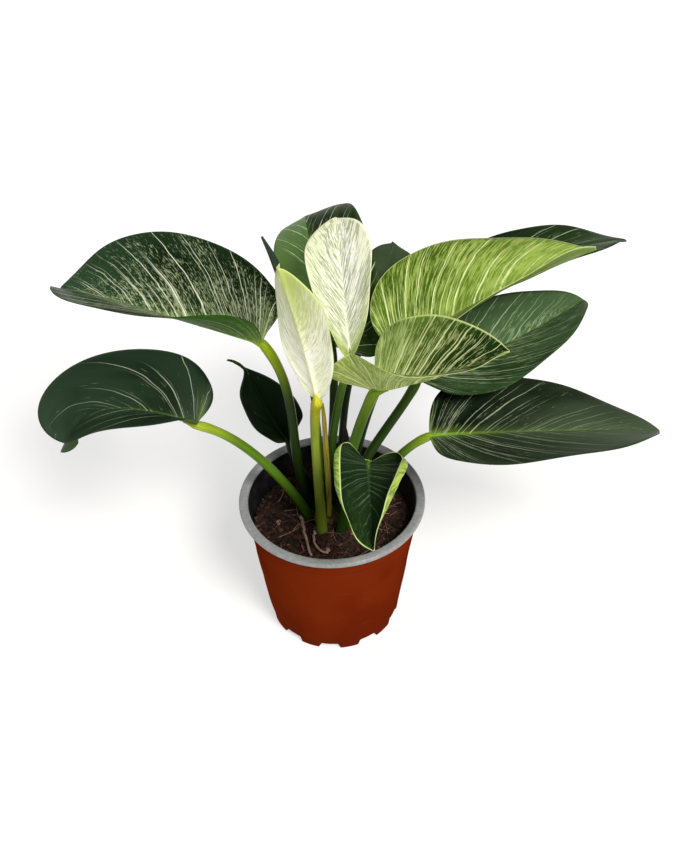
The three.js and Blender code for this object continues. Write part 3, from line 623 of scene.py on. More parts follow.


# Skin colours and patterns of the leaves, with painted sheen and painted shade on some of the dark ones.
# ground: its two colours. patches, tip, edge and sides (left and right half) say how much of the second
# shows in patches, between the shares of the length in tip_from_to, at the margin and on each side. On some
# dark leaves the lighter second colour towards the tip is a painted sheen, and a half that drifts away from
# the other is painted light and shade; each such leaf says so.
# sway: how many mm the stripes and flecks drift.
# fleck, flecks, fleck_shares: the flecks' colour and sets, and how strong they are on the upper skin and on
# the underside. cut: the noise level over which they show, at the midrib and at the margin; cut_tip: what
# it gains towards the tip.
# stripe, lines: the pinstripes' colour and sets. They fade over stripes_from_to to stripes_at_tip, and
# stripes_under is what is left of them on the underside.
# rib, rib_reach, zone, zone_strength: the midrib's colour, how far it runs and the pale zone beside it.
# glow, base_glow, base_reach: the tint round the joint with the stalk. rim, rim_strength: the margin's.
# under, under_share: the underside's tint. specular: the gloss; through: the light scattered in pale flesh.
DARK = dict(
    patches=0.4, tip=0.5, tip_from_to=(0.45, 1.0), edge=0.0, sides=(0.0, 0.0), sway=5.0,
    fleck="8fa878", flecks=(flecks(1.3, 8, 0.45),), fleck_shares=(1.0, 0.4), cut=(0.60, 0.68), cut_tip=0.0,
    stripe="dfe8c8", lines=(), stripes_from_to=(0.6, 1.0), stripes_at_tip=0.6, stripes_under=0.6,
    rib_reach=0.8, zone=0.12, zone_strength=0.25, glow="86a54e", base_glow=0.4, base_reach=0.3,
    rim="2b4024", rim_strength=0.5, under="4a6a2a", under_share=0.5, specular=0.04, through=0.0)
LIME = {**DARK, **dict(
    sway=4.0, stripe="dde8ac", stripes_at_tip=0.9, rib="a9c25a", rim="c2d38a", rim_strength=0.7)}
CREAM = {**DARK, **dict(
    patches=0.2, zone=0.2, rim_strength=0.8, under="f6f6e4", specular=0.12, through=0.3)}
LOOKS = {
    # left_upper: the lighter second ground colour coming in towards the tip is a painted sheen.
    "left_upper": {**DARK, **dict(
        ground=("0c1c06", "29452a"), tip=0.9, tip_from_to=(0.5, 0.95),
        fleck="b4c498", flecks=(flecks(1.0, 4, 0.6), flecks(0.8, 3, 0.45)), fleck_shares=(1.0, 0.2),
        cut=(0.51, 0.62), cut_tip=0.05,
        stripe="eef4d8", lines=(lines(12, 1.3, 0.95, 1.3, 0.95, 0.3), lines(4.4, 0.85, 0.75, 1.0, 0.75, 0.8)),
        stripes_under=0.3, rib="8fae3c", zone=0.25, zone_strength=0.35, glow="8fae3c",
        under="2f5a08", under_share=0.9)},
    # left_lower: the lighter second colour towards the tip is a painted sheen, and the left half, the near
    # one, drifts lighter: painted light.
    "left_lower": {**DARK, **dict(
        ground=("081209", "324734"), sides=(0.3, 0.0), tip=0.7, cut=(0.66, 0.72), stripe="aebaa0",
        lines=(lines(15, 1.1, 0.95, 1.2, 0.7), lines(5, 0.8, 0.5, 0.7, 0.4, 0.8)), rib="587f34")},
    # back_left_small: near black all over, a painted shade for a leaf that hangs in shadow at the back.
    "back_left_small": {**DARK, **dict(
        ground=("060f04", "0e1e0a"), cut=(0.80, 0.74), rib="162a14", base_glow=0.1)},
    "cream_left": {**CREAM, **dict(
        ground=("fffff2", "a9c048"), tip=1.0, tip_from_to=(0.66, 1.0),
        fleck="b3bd6c", flecks=(flecks(2.2, 6, 0.4), flecks(1.2, 5, 0.6)), fleck_shares=(1.0, 0.9),
        cut=(0.60, 0.56), cut_tip=-0.12,
        stripe="cdbfa2", lines=(lines(7, 1.0, 0.85, 1.2, 0.45, 0.8), lines(3, 0.7, 0.7, 1.1, 0.3, 0.9)),
        stripes_under=1.0, rib="eef0cf", zone_strength=0.5, glow="b4c06a", base_glow=1.2, base_reach=0.5,
        rim="c3d47a", under_share=0.1)},
    # cream_center: its left half drifts a little to the darker green second colour, painted shade on that
    # side.
    "cream_center": {**CREAM, **dict(
        ground=("fbfbf0", "a9bb5c"), edge=0.25, sides=(0.1, 0.0), tip=0.9, tip_from_to=(0.6, 0.1),
        fleck="697c56", flecks=(flecks(1.2, 8, 0.6), flecks(1.0, 4, 0.45)), cut=(0.52, 0.55),
        stripe="7d8f6a", lines=(lines(3.6, 1.1, 0.85, 1.2, 0.55, 0.9),),
        rib="f4f4e4", zone_strength=0.35, glow="7d8f30", base_glow=1.0, base_reach=0.5,
        rim="edf2cf", under_share=0.3)},
    # back_arching: its left half drifts to the lighter second colour and its right half stays near black, one
    # half lighter than the other for how the light falls: a painted sheen and a painted shade.
    "back_arching": {**DARK, **dict(
        ground=("0a1805", "5a7d3c"), sides=(0.9, 0.0), tip=0.0, patches=0.3, rib="4c6b30", base_glow=0.2,
        stripe="e0ecc4", lines=(lines(10, 1.1, 0.8, 1.2, 0.95, 0.6), lines(5, 0.8, 0.4, 1.0, 0.4, 0.8)),
        specular=0.03)},
    "back_small": {**DARK, **dict(
        ground=("26361c", "42523a"), cut=(0.70, 0.72), rib="4c5f3c", stripe="8a987a", base_glow=0.1,
        lines=(lines(9, 0.8, 0.5, 1.0, 0.35),))},
    "lime_upper": {**LIME, **dict(
        ground=("36520a", "7c9a3c"), patches=0.2, tip=0.9, tip_from_to=(0.5, 1.0),
        fleck="a3b75c", flecks=(flecks(1.2, 16, 0.5), flecks(0.9, 8, 0.45)), cut=(0.54, 0.54), cut_tip=-0.05,
        lines=(lines(14, 2.0, 0.9, 1.4, 0.85, 0.5), lines(4.5, 1.1, 0.7, 1.3, 0.5, 0.8)),
        glow="8fa83c", under="7d9648", under_share=0.35)},
    "lime_front": {**LIME, **dict(
        ground=("67852c", "1c3611"), patches=0.1, tip=1.0, tip_from_to=(0.35, 0.85),
        fleck="ccd894", flecks=(flecks(0.9, 14, 0.5), flecks(0.8, 6, 0.45)), fleck_shares=(1.0, 1.0),
        cut=(0.51, 0.54), cut_tip=0.1,
        lines=(lines(9, 1.3, 0.95, 1.4, 0.95, 0.35), lines(3, 0.85, 0.85, 1.3, 0.8, 0.6)),
        stripes_under=1.0, glow="a9bc5a", under="9dae52", under_share=0.6)},
    "right_back_dark": {**DARK, **dict(
        ground=("0f2207", "26401a"), rib="9db56a",
        lines=(lines(12, 1.2, 0.7, 1.3, 0.7), lines(5, 0.8, 0.4, 1.0, 0.4, 0.8)))},
    # right_middle: its left half, the upper one, drifts to the lighter second colour: a painted sheen.
    "right_middle": {**DARK, **dict(
        ground=("213819", "4a6342"), sides=(0.5, 0.0), cut=(0.54, 0.64), stripe="c0ceac", rib="6d8f5a",
        lines=(lines(11, 1.2, 0.8, 1.2, 0.75, 0.4), lines(4, 0.8, 0.6, 1.1, 0.55, 0.8)), base_glow=0.2)},
    # right_lower: the greyish second colour towards the tip is a painted sheen, and the right half, the near
    # one, drifts lighter: painted light.
    "right_lower": {**DARK, **dict(
        ground=("061007", "46563f"), sides=(0.0, 0.2), tip=0.8, tip_from_to=(0.5, 1.0), patches=0.2,
        cut=(0.64, 0.70), cut_tip=0.03, specular=0.03, stripe="c9d4b4",
        lines=(lines(9, 1.1, 0.85, 1.1, 0.65, 0.6), lines(4, 0.8, 0.6, 0.9, 0.5, 0.9)),
        stripes_from_to=(0.4, 0.75), stripes_at_tip=0.3, rib="86ad3c", rib_reach=0.7, glow="86ad3c",
        base_glow=0.6, base_reach=0.2, zone=0.16, zone_strength=0.45)},
    "front_small": {**DARK, **dict(
        ground=("142410", "22361c"), fleck="4f6e2c", flecks=(flecks(1.5, 5, 0.7),), fleck_shares=(0.2, 1.0),
        cut=(0.76, 0.50), stripe="7f9a7c", stripes_under=1.0,
        lines=(lines(6, 0.8, 0.9, 1.0, 0.35, 0.5), lines(3.2, 0.7, 0.6, 0.9, 0.25, 0.8)),
        rib="3d5a34", zone_strength=0.1, base_glow=0.0, rim="b9cc8a", rim_strength=0.9,
        under="a5bb58", under_share=0.9)},
}

# ---- leaf stalks ----------------------------------------------------------------------------

STALK_POINTS = 58
STALK_SIDES = 18
# How far over the crown or the soil a stalk's curve starts, and how far under the blade's base it ends.
OVER_CROWN = 2.3
OVER_SOIL = 1.5
UNDER_BASE = 0.9
# The stretch of the midrib that the stalk's end is tucked under, and how far under it lies.
TUCKED = (1.5, 9)
UNDER_MIDRIB = 1.3
# Stalk colours from the soil up to the blade. The stalks of back_left_small, back_arching, back_small and
# right_back_dark are near black all along: painted shade for the shade at the back of the plant.
STALK_COLOURS = {
    "left_upper": ("122206", "1c3008", "9ab41e"),
    "left_lower": ("2c4a0c", "527414", "a0b22e"),
    "back_left_small": ("12220c", "162a10", "1c3614"),
    "cream_left": ("5c6c1c", "80902c", "cec830"),
    "cream_center": ("263a0a", "32500e", "64802c"),
    "back_arching": ("1c2c0a", "22360c", "2c4212"),
    "back_small": ("152810", "192f13", "1f371a"),
    "lime_upper": ("274a0c", "375f10", "6f8f24"),
    "lime_front": ("2c4808", "3f5e0c", "7a9628"),
    "right_back_dark": ("12220c", "162a10", "1c3614"),
    "right_middle": ("1a2e08", "22390b", "3a5616"),
    "right_lower": ("1c380a", "2b4c0e", "86a424"),
    "front_small": ("1f3a12", "294a18", "4c6c2c"),
}


def stalk_material(name, colours):
    """Fresh leaf stalk, smooth and satin: its colour runs from the soil to the blade, with streaks of the
    lowest colour drawn along it."""
    material, tree, shader = surface_of(f"leaf_stalk_{name}", 0.36, 0.12)
    uv = add(tree, "UVMap", uv_map="UVMap")
    at = add(tree, "VectorMath", [uv, (7.0, 34.0, 1.0)], **TIMES)
    grain_height = add(tree, "TexNoise", {"Vector": at, "Scale": 1.0, "Detail": 3.0})
    height = add(tree, "SeparateXYZ", [uv], "X")
    height = add(tree, "Math", [grain_height, 0.25, height], **TIMES_PLUS)
    low = add(tree, "MapRange", [height, 0.2, 0.62], **SOFTLY)
    high = add(tree, "MapRange", [height, 0.7, 1.08], **SOFTLY)
    streak = add(tree, "MapRange", [grain_height, 0.42, 0.62, 0.0, 0.5], **SOFTLY)
    colour = add(tree, "Mix", {0: low, 6: colours[0], 7: colours[1]}, **COLOURS)
    colour = add(tree, "Mix", {0: high, 6: colour, 7: colours[2]}, **COLOURS)
    colour = add(tree, "Mix", {0: streak, 6: colour, 7: colours[0]}, **COLOURS)
    finish(tree, shader, colour, grain_height, 0.15, 0.4)
    return material


def stalk(name, leaf):
    """The stalk along its Bezier, from its hole in the soil or the crown's top to the blade. Its section is
    round with a shallow groove on top; it widens into a sheath at the foot and swells at the joint under
    the blade."""
    place = leaf["stalk"]
    angle = math.radians(place["angle"])
    inner = place.get("inner", False)
    ring = INNER_RING if inner else OUTER_RING
    foot = np.array([CROWN_CENTRE[0] + ring * math.cos(angle), CROWN_CENTRE[1] + ring * math.sin(angle), 0.0])
    low = (CROWN_TOP if inner else SOIL_TOP - HOLE_DEPTH) + SEAT_GAP
    start = foot + (0, 0, CROWN_TOP + OVER_CROWN if inner else SOIL_TOP + OVER_SOIL)
    blade_end, _, up = midrib(leaf, np.array([0.0]))
    t = np.linspace(0, 1, STALK_POINTS)
    path = bezier((start, blade_end[0] - UNDER_BASE * up[0]), place["handles"], t)
    tuck, _, tuck_up = midrib(leaf, np.linspace(*TUCKED, 5))
    path = np.vstack([foot + (0, 0, low), path, tuck - UNDER_MIDRIB * tuck_up])
    share = np.linspace(0, 1, len(path))
    radius = place["radius"][0] + (place["radius"][1] - place["radius"][0]) * share
    swell = 1 + 0.10 * np.exp(-((share - 0.86) / 0.05) ** 2) + 0.12 * np.exp(-(share / 0.12) ** 2)
    taper = 1 - 0.72 * smooth(0.91, 1.0, share)
    radius = radius * swell * taper
    radius[0] = place["radius"][0] - 0.4
    a = np.linspace(0, 2 * np.pi, STALK_SIDES + 1)
    groove = 1 - 0.13 * np.exp(-((a - 1.5 * np.pi) / 0.45) ** 2)[None, :] * smooth(0.1, 0.4, share)[:, None]
    points = tube(path, radius[:, None] * groove, STALK_SIDES)
    material = stalk_material(name, STALK_COLOURS[name])
    return piece_from_grid(f"stalk_{name}", points, [material], [f"petiole_{name}"])


# ---- young leaf, sheaths and roots ----------------------------------------------------------

SHOOT_POINTS = 48
SHOOT_SIDES = 16
ROOT_POINTS = 60
ROOT_SIDES = 12


def shoot(name, shape, material, node, flat=1.0, seam=0.0):
    """A tube through the path's points. flat squashes its section, and seam lifts the section's radius
    once round, so that a rolled edge shows as a step."""
    t = np.linspace(0, 1, SHOOT_POINTS)
    knots = np.linspace(0, 1, len(shape["radii"]))
    radii = np.interp(t, knots, shape["radii"])
    a = np.linspace(0, 2 * np.pi, SHOOT_SIDES + 1)
    section = (1 + seam * (a / (2 * np.pi) - 0.5)) / np.sqrt(np.cos(a) ** 2 + (np.sin(a) / flat) ** 2)
    section[-1] = section[0]
    points = tube(through(shape["path"], t), radii[:, None] * section, SHOOT_SIDES, (1, 0, 0))
    return piece_from_grid(name, points, [material], [node])


def fibre_material(name, ground, streak, roughness=0.7):
    """Plant fibre, papery or woody and dull, or waxier where it is fresh: long streaks of a second colour
    along the piece."""
    material, tree, shader = surface_of(name, roughness, 0.25)
    uv = add(tree, "UVMap", uv_map="UVMap")
    at = add(tree, "VectorMath", [uv, (6.0, 22.0, 1.0)], **TIMES)
    fibre = add(tree, "TexNoise", {"Vector": at, "Scale": 1.0, "Detail": 4.0})
    share = add(tree, "MapRange", [fibre, 0.4, 0.62], **SOFTLY)
    colour = add(tree, "Mix", {0: share, 6: ground, 7: streak}, **COLOURS)
    finish(tree, shader, colour, fibre, 0.3, 0.6)
    return material


def root(name, shape, material):
    """An aerial root that lies on the soil: a thin tube with knuckles, its radius uneven by an eighth."""
    height = SOIL_TOP + SEAT_GAP + shape["radius"]
    t = np.linspace(0, 1, ROOT_POINTS)
    path = through([(x, y, height) for x, y in shape["path"]], t)
    path[:, 0] += 0.5 * value_noise(9 * t, t, 3)
    path[:, 2] += 0.7 * smooth(0, 1, t) * value_noise(7 * t, t + 3, 5) + 1.0
    radii = shape["radius"] * (1 - 0.36 * t) * (1 + 0.12 * value_noise(22 * t, t, 8))
    points = tube(path, radii, ROOT_SIDES)
    return piece_from_grid(f"aerial_root_{name}", points, [material], [f"root_{name}"])


# ---- pot ------------------------------------------------------------------------------------

POT_TURNS = 360
POT_FLOOR = 5.5
STEP_AT = 93.0
STEP_OUT = 0.5
# Degrees from a notch's middle at which it starts and is full, and how far it draws the wall in.
NOTCH_SLOPE = (10.2, 7.2)
NOTCH_IN = 1.1
DENT_DEPTH = 0.38


def pot_outline(z):
    """Radius of the pot's outer wall at height z: a straight taper."""
    return POT_BASE_RADIUS + (POT_BODY_TOP_RADIUS - POT_BASE_RADIUS) * z / POT_UNDER_LIP


def pot():
    """A profile carried round the axis: up the outer wall with its small step, round the lip, down the inner
    wall, across the floor and back under the foot. Every tenth of a turn the foot ring is raised into a
    notch, and the wall above the notch is drawn in; the thin wall has shallow dents."""
    outer = np.concatenate([
        [0.0, 0.5, 1.2], np.linspace(2.4, 12, 9), np.linspace(15, 92, 26), [92.6, 93.4, 94.5],
        np.linspace(97, POT_UNDER_LIP - 0.8, 4)])
    step_out = STEP_OUT * smooth(STEP_AT - 0.6, STEP_AT + 0.6, outer)
    outer_r = pot_outline(outer) + step_out - 0.5 * smooth(1.6, 0, outer)
    lip = np.array([
        (POT_BODY_TOP_RADIUS + 0.3, POT_UNDER_LIP), (63.6, POT_UNDER_LIP - 0.1), (64.5, POT_UNDER_LIP + 0.05),
        (64.95, POT_UNDER_LIP + 0.6), (POT_RIM_RADIUS, 106.3), (64.9, 107.3), (64.4, 107.95), (63.6, 108.25),
        (62.4, POT_HEIGHT), (60.9, POT_HEIGHT), (59.8, 108.2), (59.1, 107.8), (58.65, 107.1),
        (POT_MOUTH_RADIUS, 106.0)])
    inner = np.linspace(103, 6, 24)
    inner_r = np.minimum(pot_outline(inner) - POT_WALL, POT_MOUTH_RADIUS)
    bottom = [(FOOT_INNER_RADIUS, POT_FLOOR), (0.0, POT_FLOOR), (0.0, 0.0)]
    foot = [(FOOT_INNER_RADIUS, 0.0), (41.5, 0.0), (43.5, 0.0), (45.6, 0.0)]
    profile = np.vstack([np.stack([outer_r, outer], 1), lip, np.stack([inner_r, inner], 1), bottom, foot])
    profile = np.vstack([profile, profile[:1]])
    a = np.linspace(0, 2 * np.pi, POT_TURNS + 1)[None, :]
    r, z = profile[:, :1], profile[:, 1:]
    period = 360 / FOOT_COUNT
    off = np.abs((np.degrees(a) - FOOT_TURN + period / 2) % period - period / 2)
    notch = smooth(*NOTCH_SLOPE, off)
    is_outer = (np.arange(len(profile)) < len(outer))[:, None]
    raised = notch * smooth(FOOT_INNER_RADIUS + 0.5, 41.5, r) * smooth(FOOT_NOTCH * 1.7, 0, z)
    z = np.where(is_outer | (z < 1), z + raised * FOOT_NOTCH, z)
    r = r - NOTCH_IN * notch * smooth(11, 1, z) * (r > 44)
    dents = value_noise(a * 3.2 + 2, z / 21 + 0 * a, 21) + 0.5 * value_noise(a * 9, z / 9 + 0 * a, 22)
    fade = smooth(0, 14, z) * smooth(POT_UNDER_LIP, 86, z)
    seam = smooth(0, 0.6, a) * smooth(2 * np.pi, 2 * np.pi - 0.6, a)
    r = r + np.where(is_outer, DENT_DEPTH * dents * fade * seam, 0)
    points = np.stack([r * np.sin(a), -r * np.cos(a), z + 0 * a], -1)
    outer_rows, lip_rows = len(outer), len(lip)
    row = np.arange(len(profile) - 1)
    is_lip = (row >= outer_rows - 1) & (row < outer_rows + lip_rows - 1)
    is_inner = (row >= outer_rows + lip_rows - 1) & (row < outer_rows + lip_rows + len(inner) + 1)
    face_material = np.repeat(np.where(is_inner, 2, np.where(is_lip, 1, 0)), POT_TURNS)
    materials = [pot_wall_material(), pot_lip_material(), pot_inside_material()]
    return piece_from_grid("nursery_pot", points, materials, ["pot"], face_material)


def pot_wall_material():
    """Thermoformed polystyrene, terracotta-coloured, moulded and matt with use: clouds of a darker tone, pale
    scuffs round it and darker brown patches near the foot."""
    material, tree, shader = surface_of("moulded_polystyrene_terracotta", 0.6, 0.0)
    where = add(tree, "TexCoord", out="Object")
    height = add(tree, "SeparateXYZ", [where], "Z")
    clouds = add(tree, "TexNoise", {"Vector": where, "Scale": 14.0, "Detail": 2.0})
    round_it = add(tree, "Mapping", {"Vector": where, "Scale": (60.0, 60.0, 420.0)})
    scratches = add(tree, "TexNoise", {"Vector": round_it, "Scale": 1.0, "Detail": 5.0, "Roughness": 0.7})
    dust = add(tree, "TexNoise", {"Vector": where, "Scale": 130.0, "Detail": 4.0})
    darker = add(tree, "MapRange", [clouds, 0.36, 0.66], **SOFTLY)
    scuff = add(tree, "MapRange", [scratches, 0.60, 0.72, 0.0, 0.2], **SOFTLY)
    # darker brown patches in the wall's lowest 30 mm
    low = add(tree, "MapRange", [height, 0.03, 0.0, 0.0, 0.3], **SOFTLY)
    darker_near_foot = add(tree, "MapRange", [dust, 0.45, 0.62], **SOFTLY)
    darker_near_foot = add(tree, "Math", [darker_near_foot, low], **TIMES)
    colour = add(tree, "Mix", {0: darker, 6: "6b240a", 7: "5c1b07"}, **COLOURS)
    colour = add(tree, "Mix", {0: scuff, 6: colour, 7: "924420"}, **COLOURS)
    colour = add(tree, "Mix", {0: darker_near_foot, 6: colour, 7: "3c2014"}, **COLOURS)
    grit = add(tree, "TexNoise", {"Vector": where, "Scale": 900.0})
    finish(tree, shader, colour, grit, 0.05, 0.5)
    return material


def pot_lip_material():
    """The same sheet's black side where it rolls over as the lip, painted mid grey for its dust and for a
    painted sheen: satin, with dust and a fine grit.
    """
    material, tree, shader = surface_of("moulded_polystyrene_black_painted_grey_sheen", 0.4, 0.3)
    where = add(tree, "TexCoord", out="Object")
    dust = add(tree, "TexNoise", {"Vector": where, "Scale": 400.0, "Detail": 4.0, "Roughness": 0.6})
    dusty = add(tree, "MapRange", [dust, 0.32, 0.72], **SOFTLY)
    # Two greys: the dust on black plastic and a painted sheen.
    colour = add(tree, "Mix", {0: dusty, 6: "7d7f83", 7: "8f9194"}, **COLOURS)
    grit = add(tree, "TexNoise", {"Vector": where, "Scale": 700.0, "Detail": 3.0})
    finish(tree, shader, colour, grit, 0.05, 0.5)
    return material


def pot_inside_material():
    """The same sheet's near-black side inside the pot, dull where moist soil has stained it."""
    material, tree, shader = surface_of("moulded_polystyrene_black", 0.5, 0.25)
    where = add(tree, "TexCoord", out="Object")
    stain = add(tree, "TexNoise", {"Vector": where, "Scale": 120.0, "Detail": 4.0, "Roughness": 0.6})
    stained = add(tree, "MapRange", [stain, 0.45, 0.66], **SOFTLY)
    colour = add(tree, "Mix", {0: stained, 6: "14151a", 7: "2a2320"}, **COLOURS)
    finish(tree, shader, colour, stain, 0.1, 0.5)
    return material


# ---- soil and crown -------------------------------------------------------------------------

SOIL_BOTTOM = 10.0
SOIL_TO_WALL = 0.4
HEAP_HEIGHT = 3.2
HEAP_WIDTH = 20.0
CHIP_COUNT = 1500
FIBRE_COUNT = 160


def soil_height(x, y):
    """Height of the soil: level, heaped a little round the crown, with clods of two sizes."""
    r = np.hypot(x - CROWN_CENTRE[0], y - CROWN_CENTRE[1])
    heap = HEAP_HEIGHT * np.exp(-(r / HEAP_WIDTH) ** 2)
    clods = 1.3 * value_noise(x / 7 + 20, y / 7 + 20, 31) + 0.8 * value_noise(x / 2.8 + 9, y / 2.8 + 9, 32)
    return SOIL_TOP + heap + clods - 0.8


def soil_material():
    """Moist potting mix of composted bark and peat: near-black crumbs with reddish-brown ones among them."""
    material, tree, shader = surface_of("potting_mix", 0.9, 0.2)
    where = add(tree, "TexCoord", out="Object")
    crumbs = add(tree, "TexNoise", {"Vector": where, "Scale": 420.0, "Detail": 5.0, "Roughness": 0.65})
    beds = add(tree, "TexNoise", {"Vector": where, "Scale": 60.0, "Detail": 3.0})
    crumb = add(tree, "MapRange", [crumbs, 0.36, 0.62], **SOFTLY)
    bed = add(tree, "MapRange", [beds, 0.52, 0.66, 0.0, 0.6], **SOFTLY)
    colour = add(tree, "Mix", {0: crumb, 6: "0d0a08", 7: "271a14"}, **COLOURS)
    colour = add(tree, "Mix", {0: bed, 6: colour, 7: "3a251c"}, **COLOURS)
    finish(tree, shader, colour, crumbs, 1.2, 1.0)
    return material


def soil():
    """The soil's top as a polar grid under soil_height, closed by a plain side and bottom inside the pot."""
    wall = pot_outline(SOIL_TOP) - POT_WALL - SOIL_TO_WALL
    r = np.concatenate([np.linspace(0, wall - 1.5, 56), [wall]])[:, None]
    a = np.linspace(0, 2 * np.pi, 181)[None, :]
    x, y = r * np.sin(a), -r * np.cos(a)
    top = np.stack([x, y, soil_height(x, y) - 2.0 * smooth(wall - 3, wall, r)], -1)
    low_r = pot_outline(SOIL_BOTTOM) - POT_WALL - SOIL_TO_WALL
    side = np.stack([low_r * np.sin(a), -low_r * np.cos(a), SOIL_BOTTOM + 0 * a], -1)
    centre = np.zeros_like(side) + (0, 0, SOIL_BOTTOM)
    # Rows from the bottom up to the top, so that the faces look outward.
    points = np.concatenate([top, side, centre])[::-1]
    return piece_from_grid("potting_soil", points, [soil_material()], ["soil"])


def chip_material():
    """Bark chips and fibres, dry and matt: each takes its own brown from its tint."""
    material, tree, shader = surface_of("bark_chips", 0.82, 0.25)
    tint = add(tree, "Attribute", out="Fac", attribute_name="tint", attribute_type="GEOMETRY")
    where = add(tree, "TexCoord", out="Object")
    fibre = add(tree, "TexNoise", {"Vector": where, "Scale": 500.0, "Detail": 4.0})
    brown = add(tree, "MapRange", [tint, 0.0, 0.55], **SOFTLY)
    pale = add(tree, "MapRange", [tint, 0.55, 1.0], **SOFTLY)
    worn = add(tree, "MapRange", [fibre, 0.5, 0.64, 0.0, 0.6], **SOFTLY)
    colour = add(tree, "Mix", {0: brown, 6: "170e0a", 7: "3b2318"}, **COLOURS)
    colour = add(tree, "Mix", {0: pale, 6: colour, 7: "8f6b5c"}, **COLOURS)
    colour = add(tree, "Mix", {0: worn, 6: colour, 7: "241610"}, **COLOURS)
    finish(tree, shader, colour, fibre, 0.4, 0.8)
    return material


def scattered(random, count, inner, outer):
    """Points spread evenly over a ring round the axis, at the soil's height."""
    r = np.sqrt(random.uniform(inner ** 2, outer ** 2, count))
    a = random.uniform(0, 2 * np.pi, count)
    x, y = r * np.cos(a), r * np.sin(a)
    return np.stack([x, y, soil_height(x, y)], -1)


def turned(random, count, tilt):
    """Random matrices that tilt by up to `tilt` radians about X and then turn any way about Z."""
    a, b = random.uniform(0, 2 * np.pi, count), random.uniform(-tilt, tilt, count)
    zero, one = np.zeros(count), np.ones(count)
    about_z = np.stack([np.cos(a), -np.sin(a), zero, np.sin(a), np.cos(a), zero, zero, zero, one], 1)
    about_x = np.stack([one, zero, zero, zero, np.cos(b), -np.sin(b), zero, np.sin(b), np.cos(b)], 1)
    return about_z.reshape(-1, 3, 3) @ about_x.reshape(-1, 3, 3)


def strewn(name, shapes, places, tint, material):
    """One piece of many small grids of points, each moved to its place and with one tint."""
    count, rows, columns = shapes.shape[:3]
    points = shapes + places[:, None, None, :]
    faces = grid_faces(rows, columns) + (np.arange(count) * rows * columns)[:, None, None]
    tint = np.repeat(tint, rows * columns)
    return piece(name, points.reshape(-1, 3), faces.reshape(-1, 4), [material], tint=tint)


def chips(random, count, material):
    """Bark chips: flattened spheres of 8 x 5 points with every point pushed in or out by up to two fifths,
    about 2 to 9 mm across, turned at random and half sunk into the soil."""
    rows, columns = 5, 9
    theta = np.linspace(0, np.pi, rows)[:, None]
    phi = np.linspace(0, 2 * np.pi, columns)[None, :]
    ball = np.stack([np.sin(theta) * np.cos(phi), np.sin(theta) * np.sin(phi), np.cos(theta) + 0 * phi], -1)
    rough = random.uniform(0.62, 1.25, (count, rows, columns))
    rough[:, :, -1] = rough[:, :, 0]
    rough[:, 0], rough[:, -1] = rough[:, :1, 0], rough[:, -1:, 0]
    size = random.uniform(0.7, 1.0, (count, 1)) * np.stack(
        [random.gamma(3.0, 0.62, count) + 0.7, random.gamma(3.0, 0.32, count) + 0.5,
         random.uniform(0.35, 1.1, count)], -1)
    # Mirrored through the middle, so that the faces look outward.
    local = -ball[None] * rough[..., None] * np.minimum(size, 4.6)[:, None, None, :]
    local = np.einsum("nij,nrcj->nrci", turned(random, count, 0.55), local)
    places = scattered(random, count, 6, 55)
    return strewn("bark_chips", local, places, random.beta(1.5, 2.6, count), material)


def fibres(random, count, material):
    """Coir fibres and rootlets: thin closed tubes that bow over the soil, a parabola each."""
    rows, columns = 8, 5
    t = np.linspace(-1, 1, rows)
    reach, bow = random.uniform(4, 12, count), random.uniform(-2.5, 2.5, count)
    lift = random.uniform(0.1, 1.6, count)
    centre = np.stack([reach[:, None] * t, bow[:, None] * t ** 2, lift[:, None] * (1 - t ** 2)], -1)
    thin = random.uniform(0.2, 0.42, count)[:, None, None] * np.array([0, 1, 1, 1, 1, 1, 1, 0])[None, :, None]
    phi = np.linspace(0, 2 * np.pi, columns)[None, None, :]
    ring = np.stack([np.zeros_like(thin * phi), -thin * np.cos(phi), thin * np.sin(phi)], -1)
    local = centre[:, :, None, :] + ring
    local = np.einsum("nij,nrcj->nrci", turned(random, count, 0.12), local)
    places = scattered(random, count, 10, 46) + (0, 0, 0.5)
    return strewn("coir_fibres", local, places, random.uniform(0.35, 1.0, count), material)


def crown():
    """The short stem: a stub with the rings of fallen leaves, each ring a low ridge."""
    z = np.linspace(SOIL_TOP - HOLE_DEPTH + SEAT_GAP, CROWN_TOP, 40)
    r = CROWN_RADIUS - 0.5 * np.abs(np.sin(z * 1.3)) - 1.6 * smooth(CROWN_TOP - 2.5, CROWN_TOP, z)
    path = np.stack([0 * z + CROWN_CENTRE[0], 0 * z + CROWN_CENTRE[1], z], 1)
    points = tube(path, r, 40)
    material = fibre_material("crown_bark", "3f3420", "5d5a30", 0.8)
    return piece_from_grid("crown_stub", points, [material], ["crown"])


# ---- build ----------------------------------------------------------------------------------

for number, (leaf_name, leaf) in enumerate(LEAVES.items()):
    look = LOOKS[leaf_name]
    seed = 3.0 + 5.3 * number
    skins = [blade_material(f"{leaf_name}_upper", leaf, look, seed),
             blade_material(f"{leaf_name}_under", leaf, look, seed, under=True)]
    blade(leaf_name, leaf, skins, number + 1)
    stalk(leaf_name, leaf)

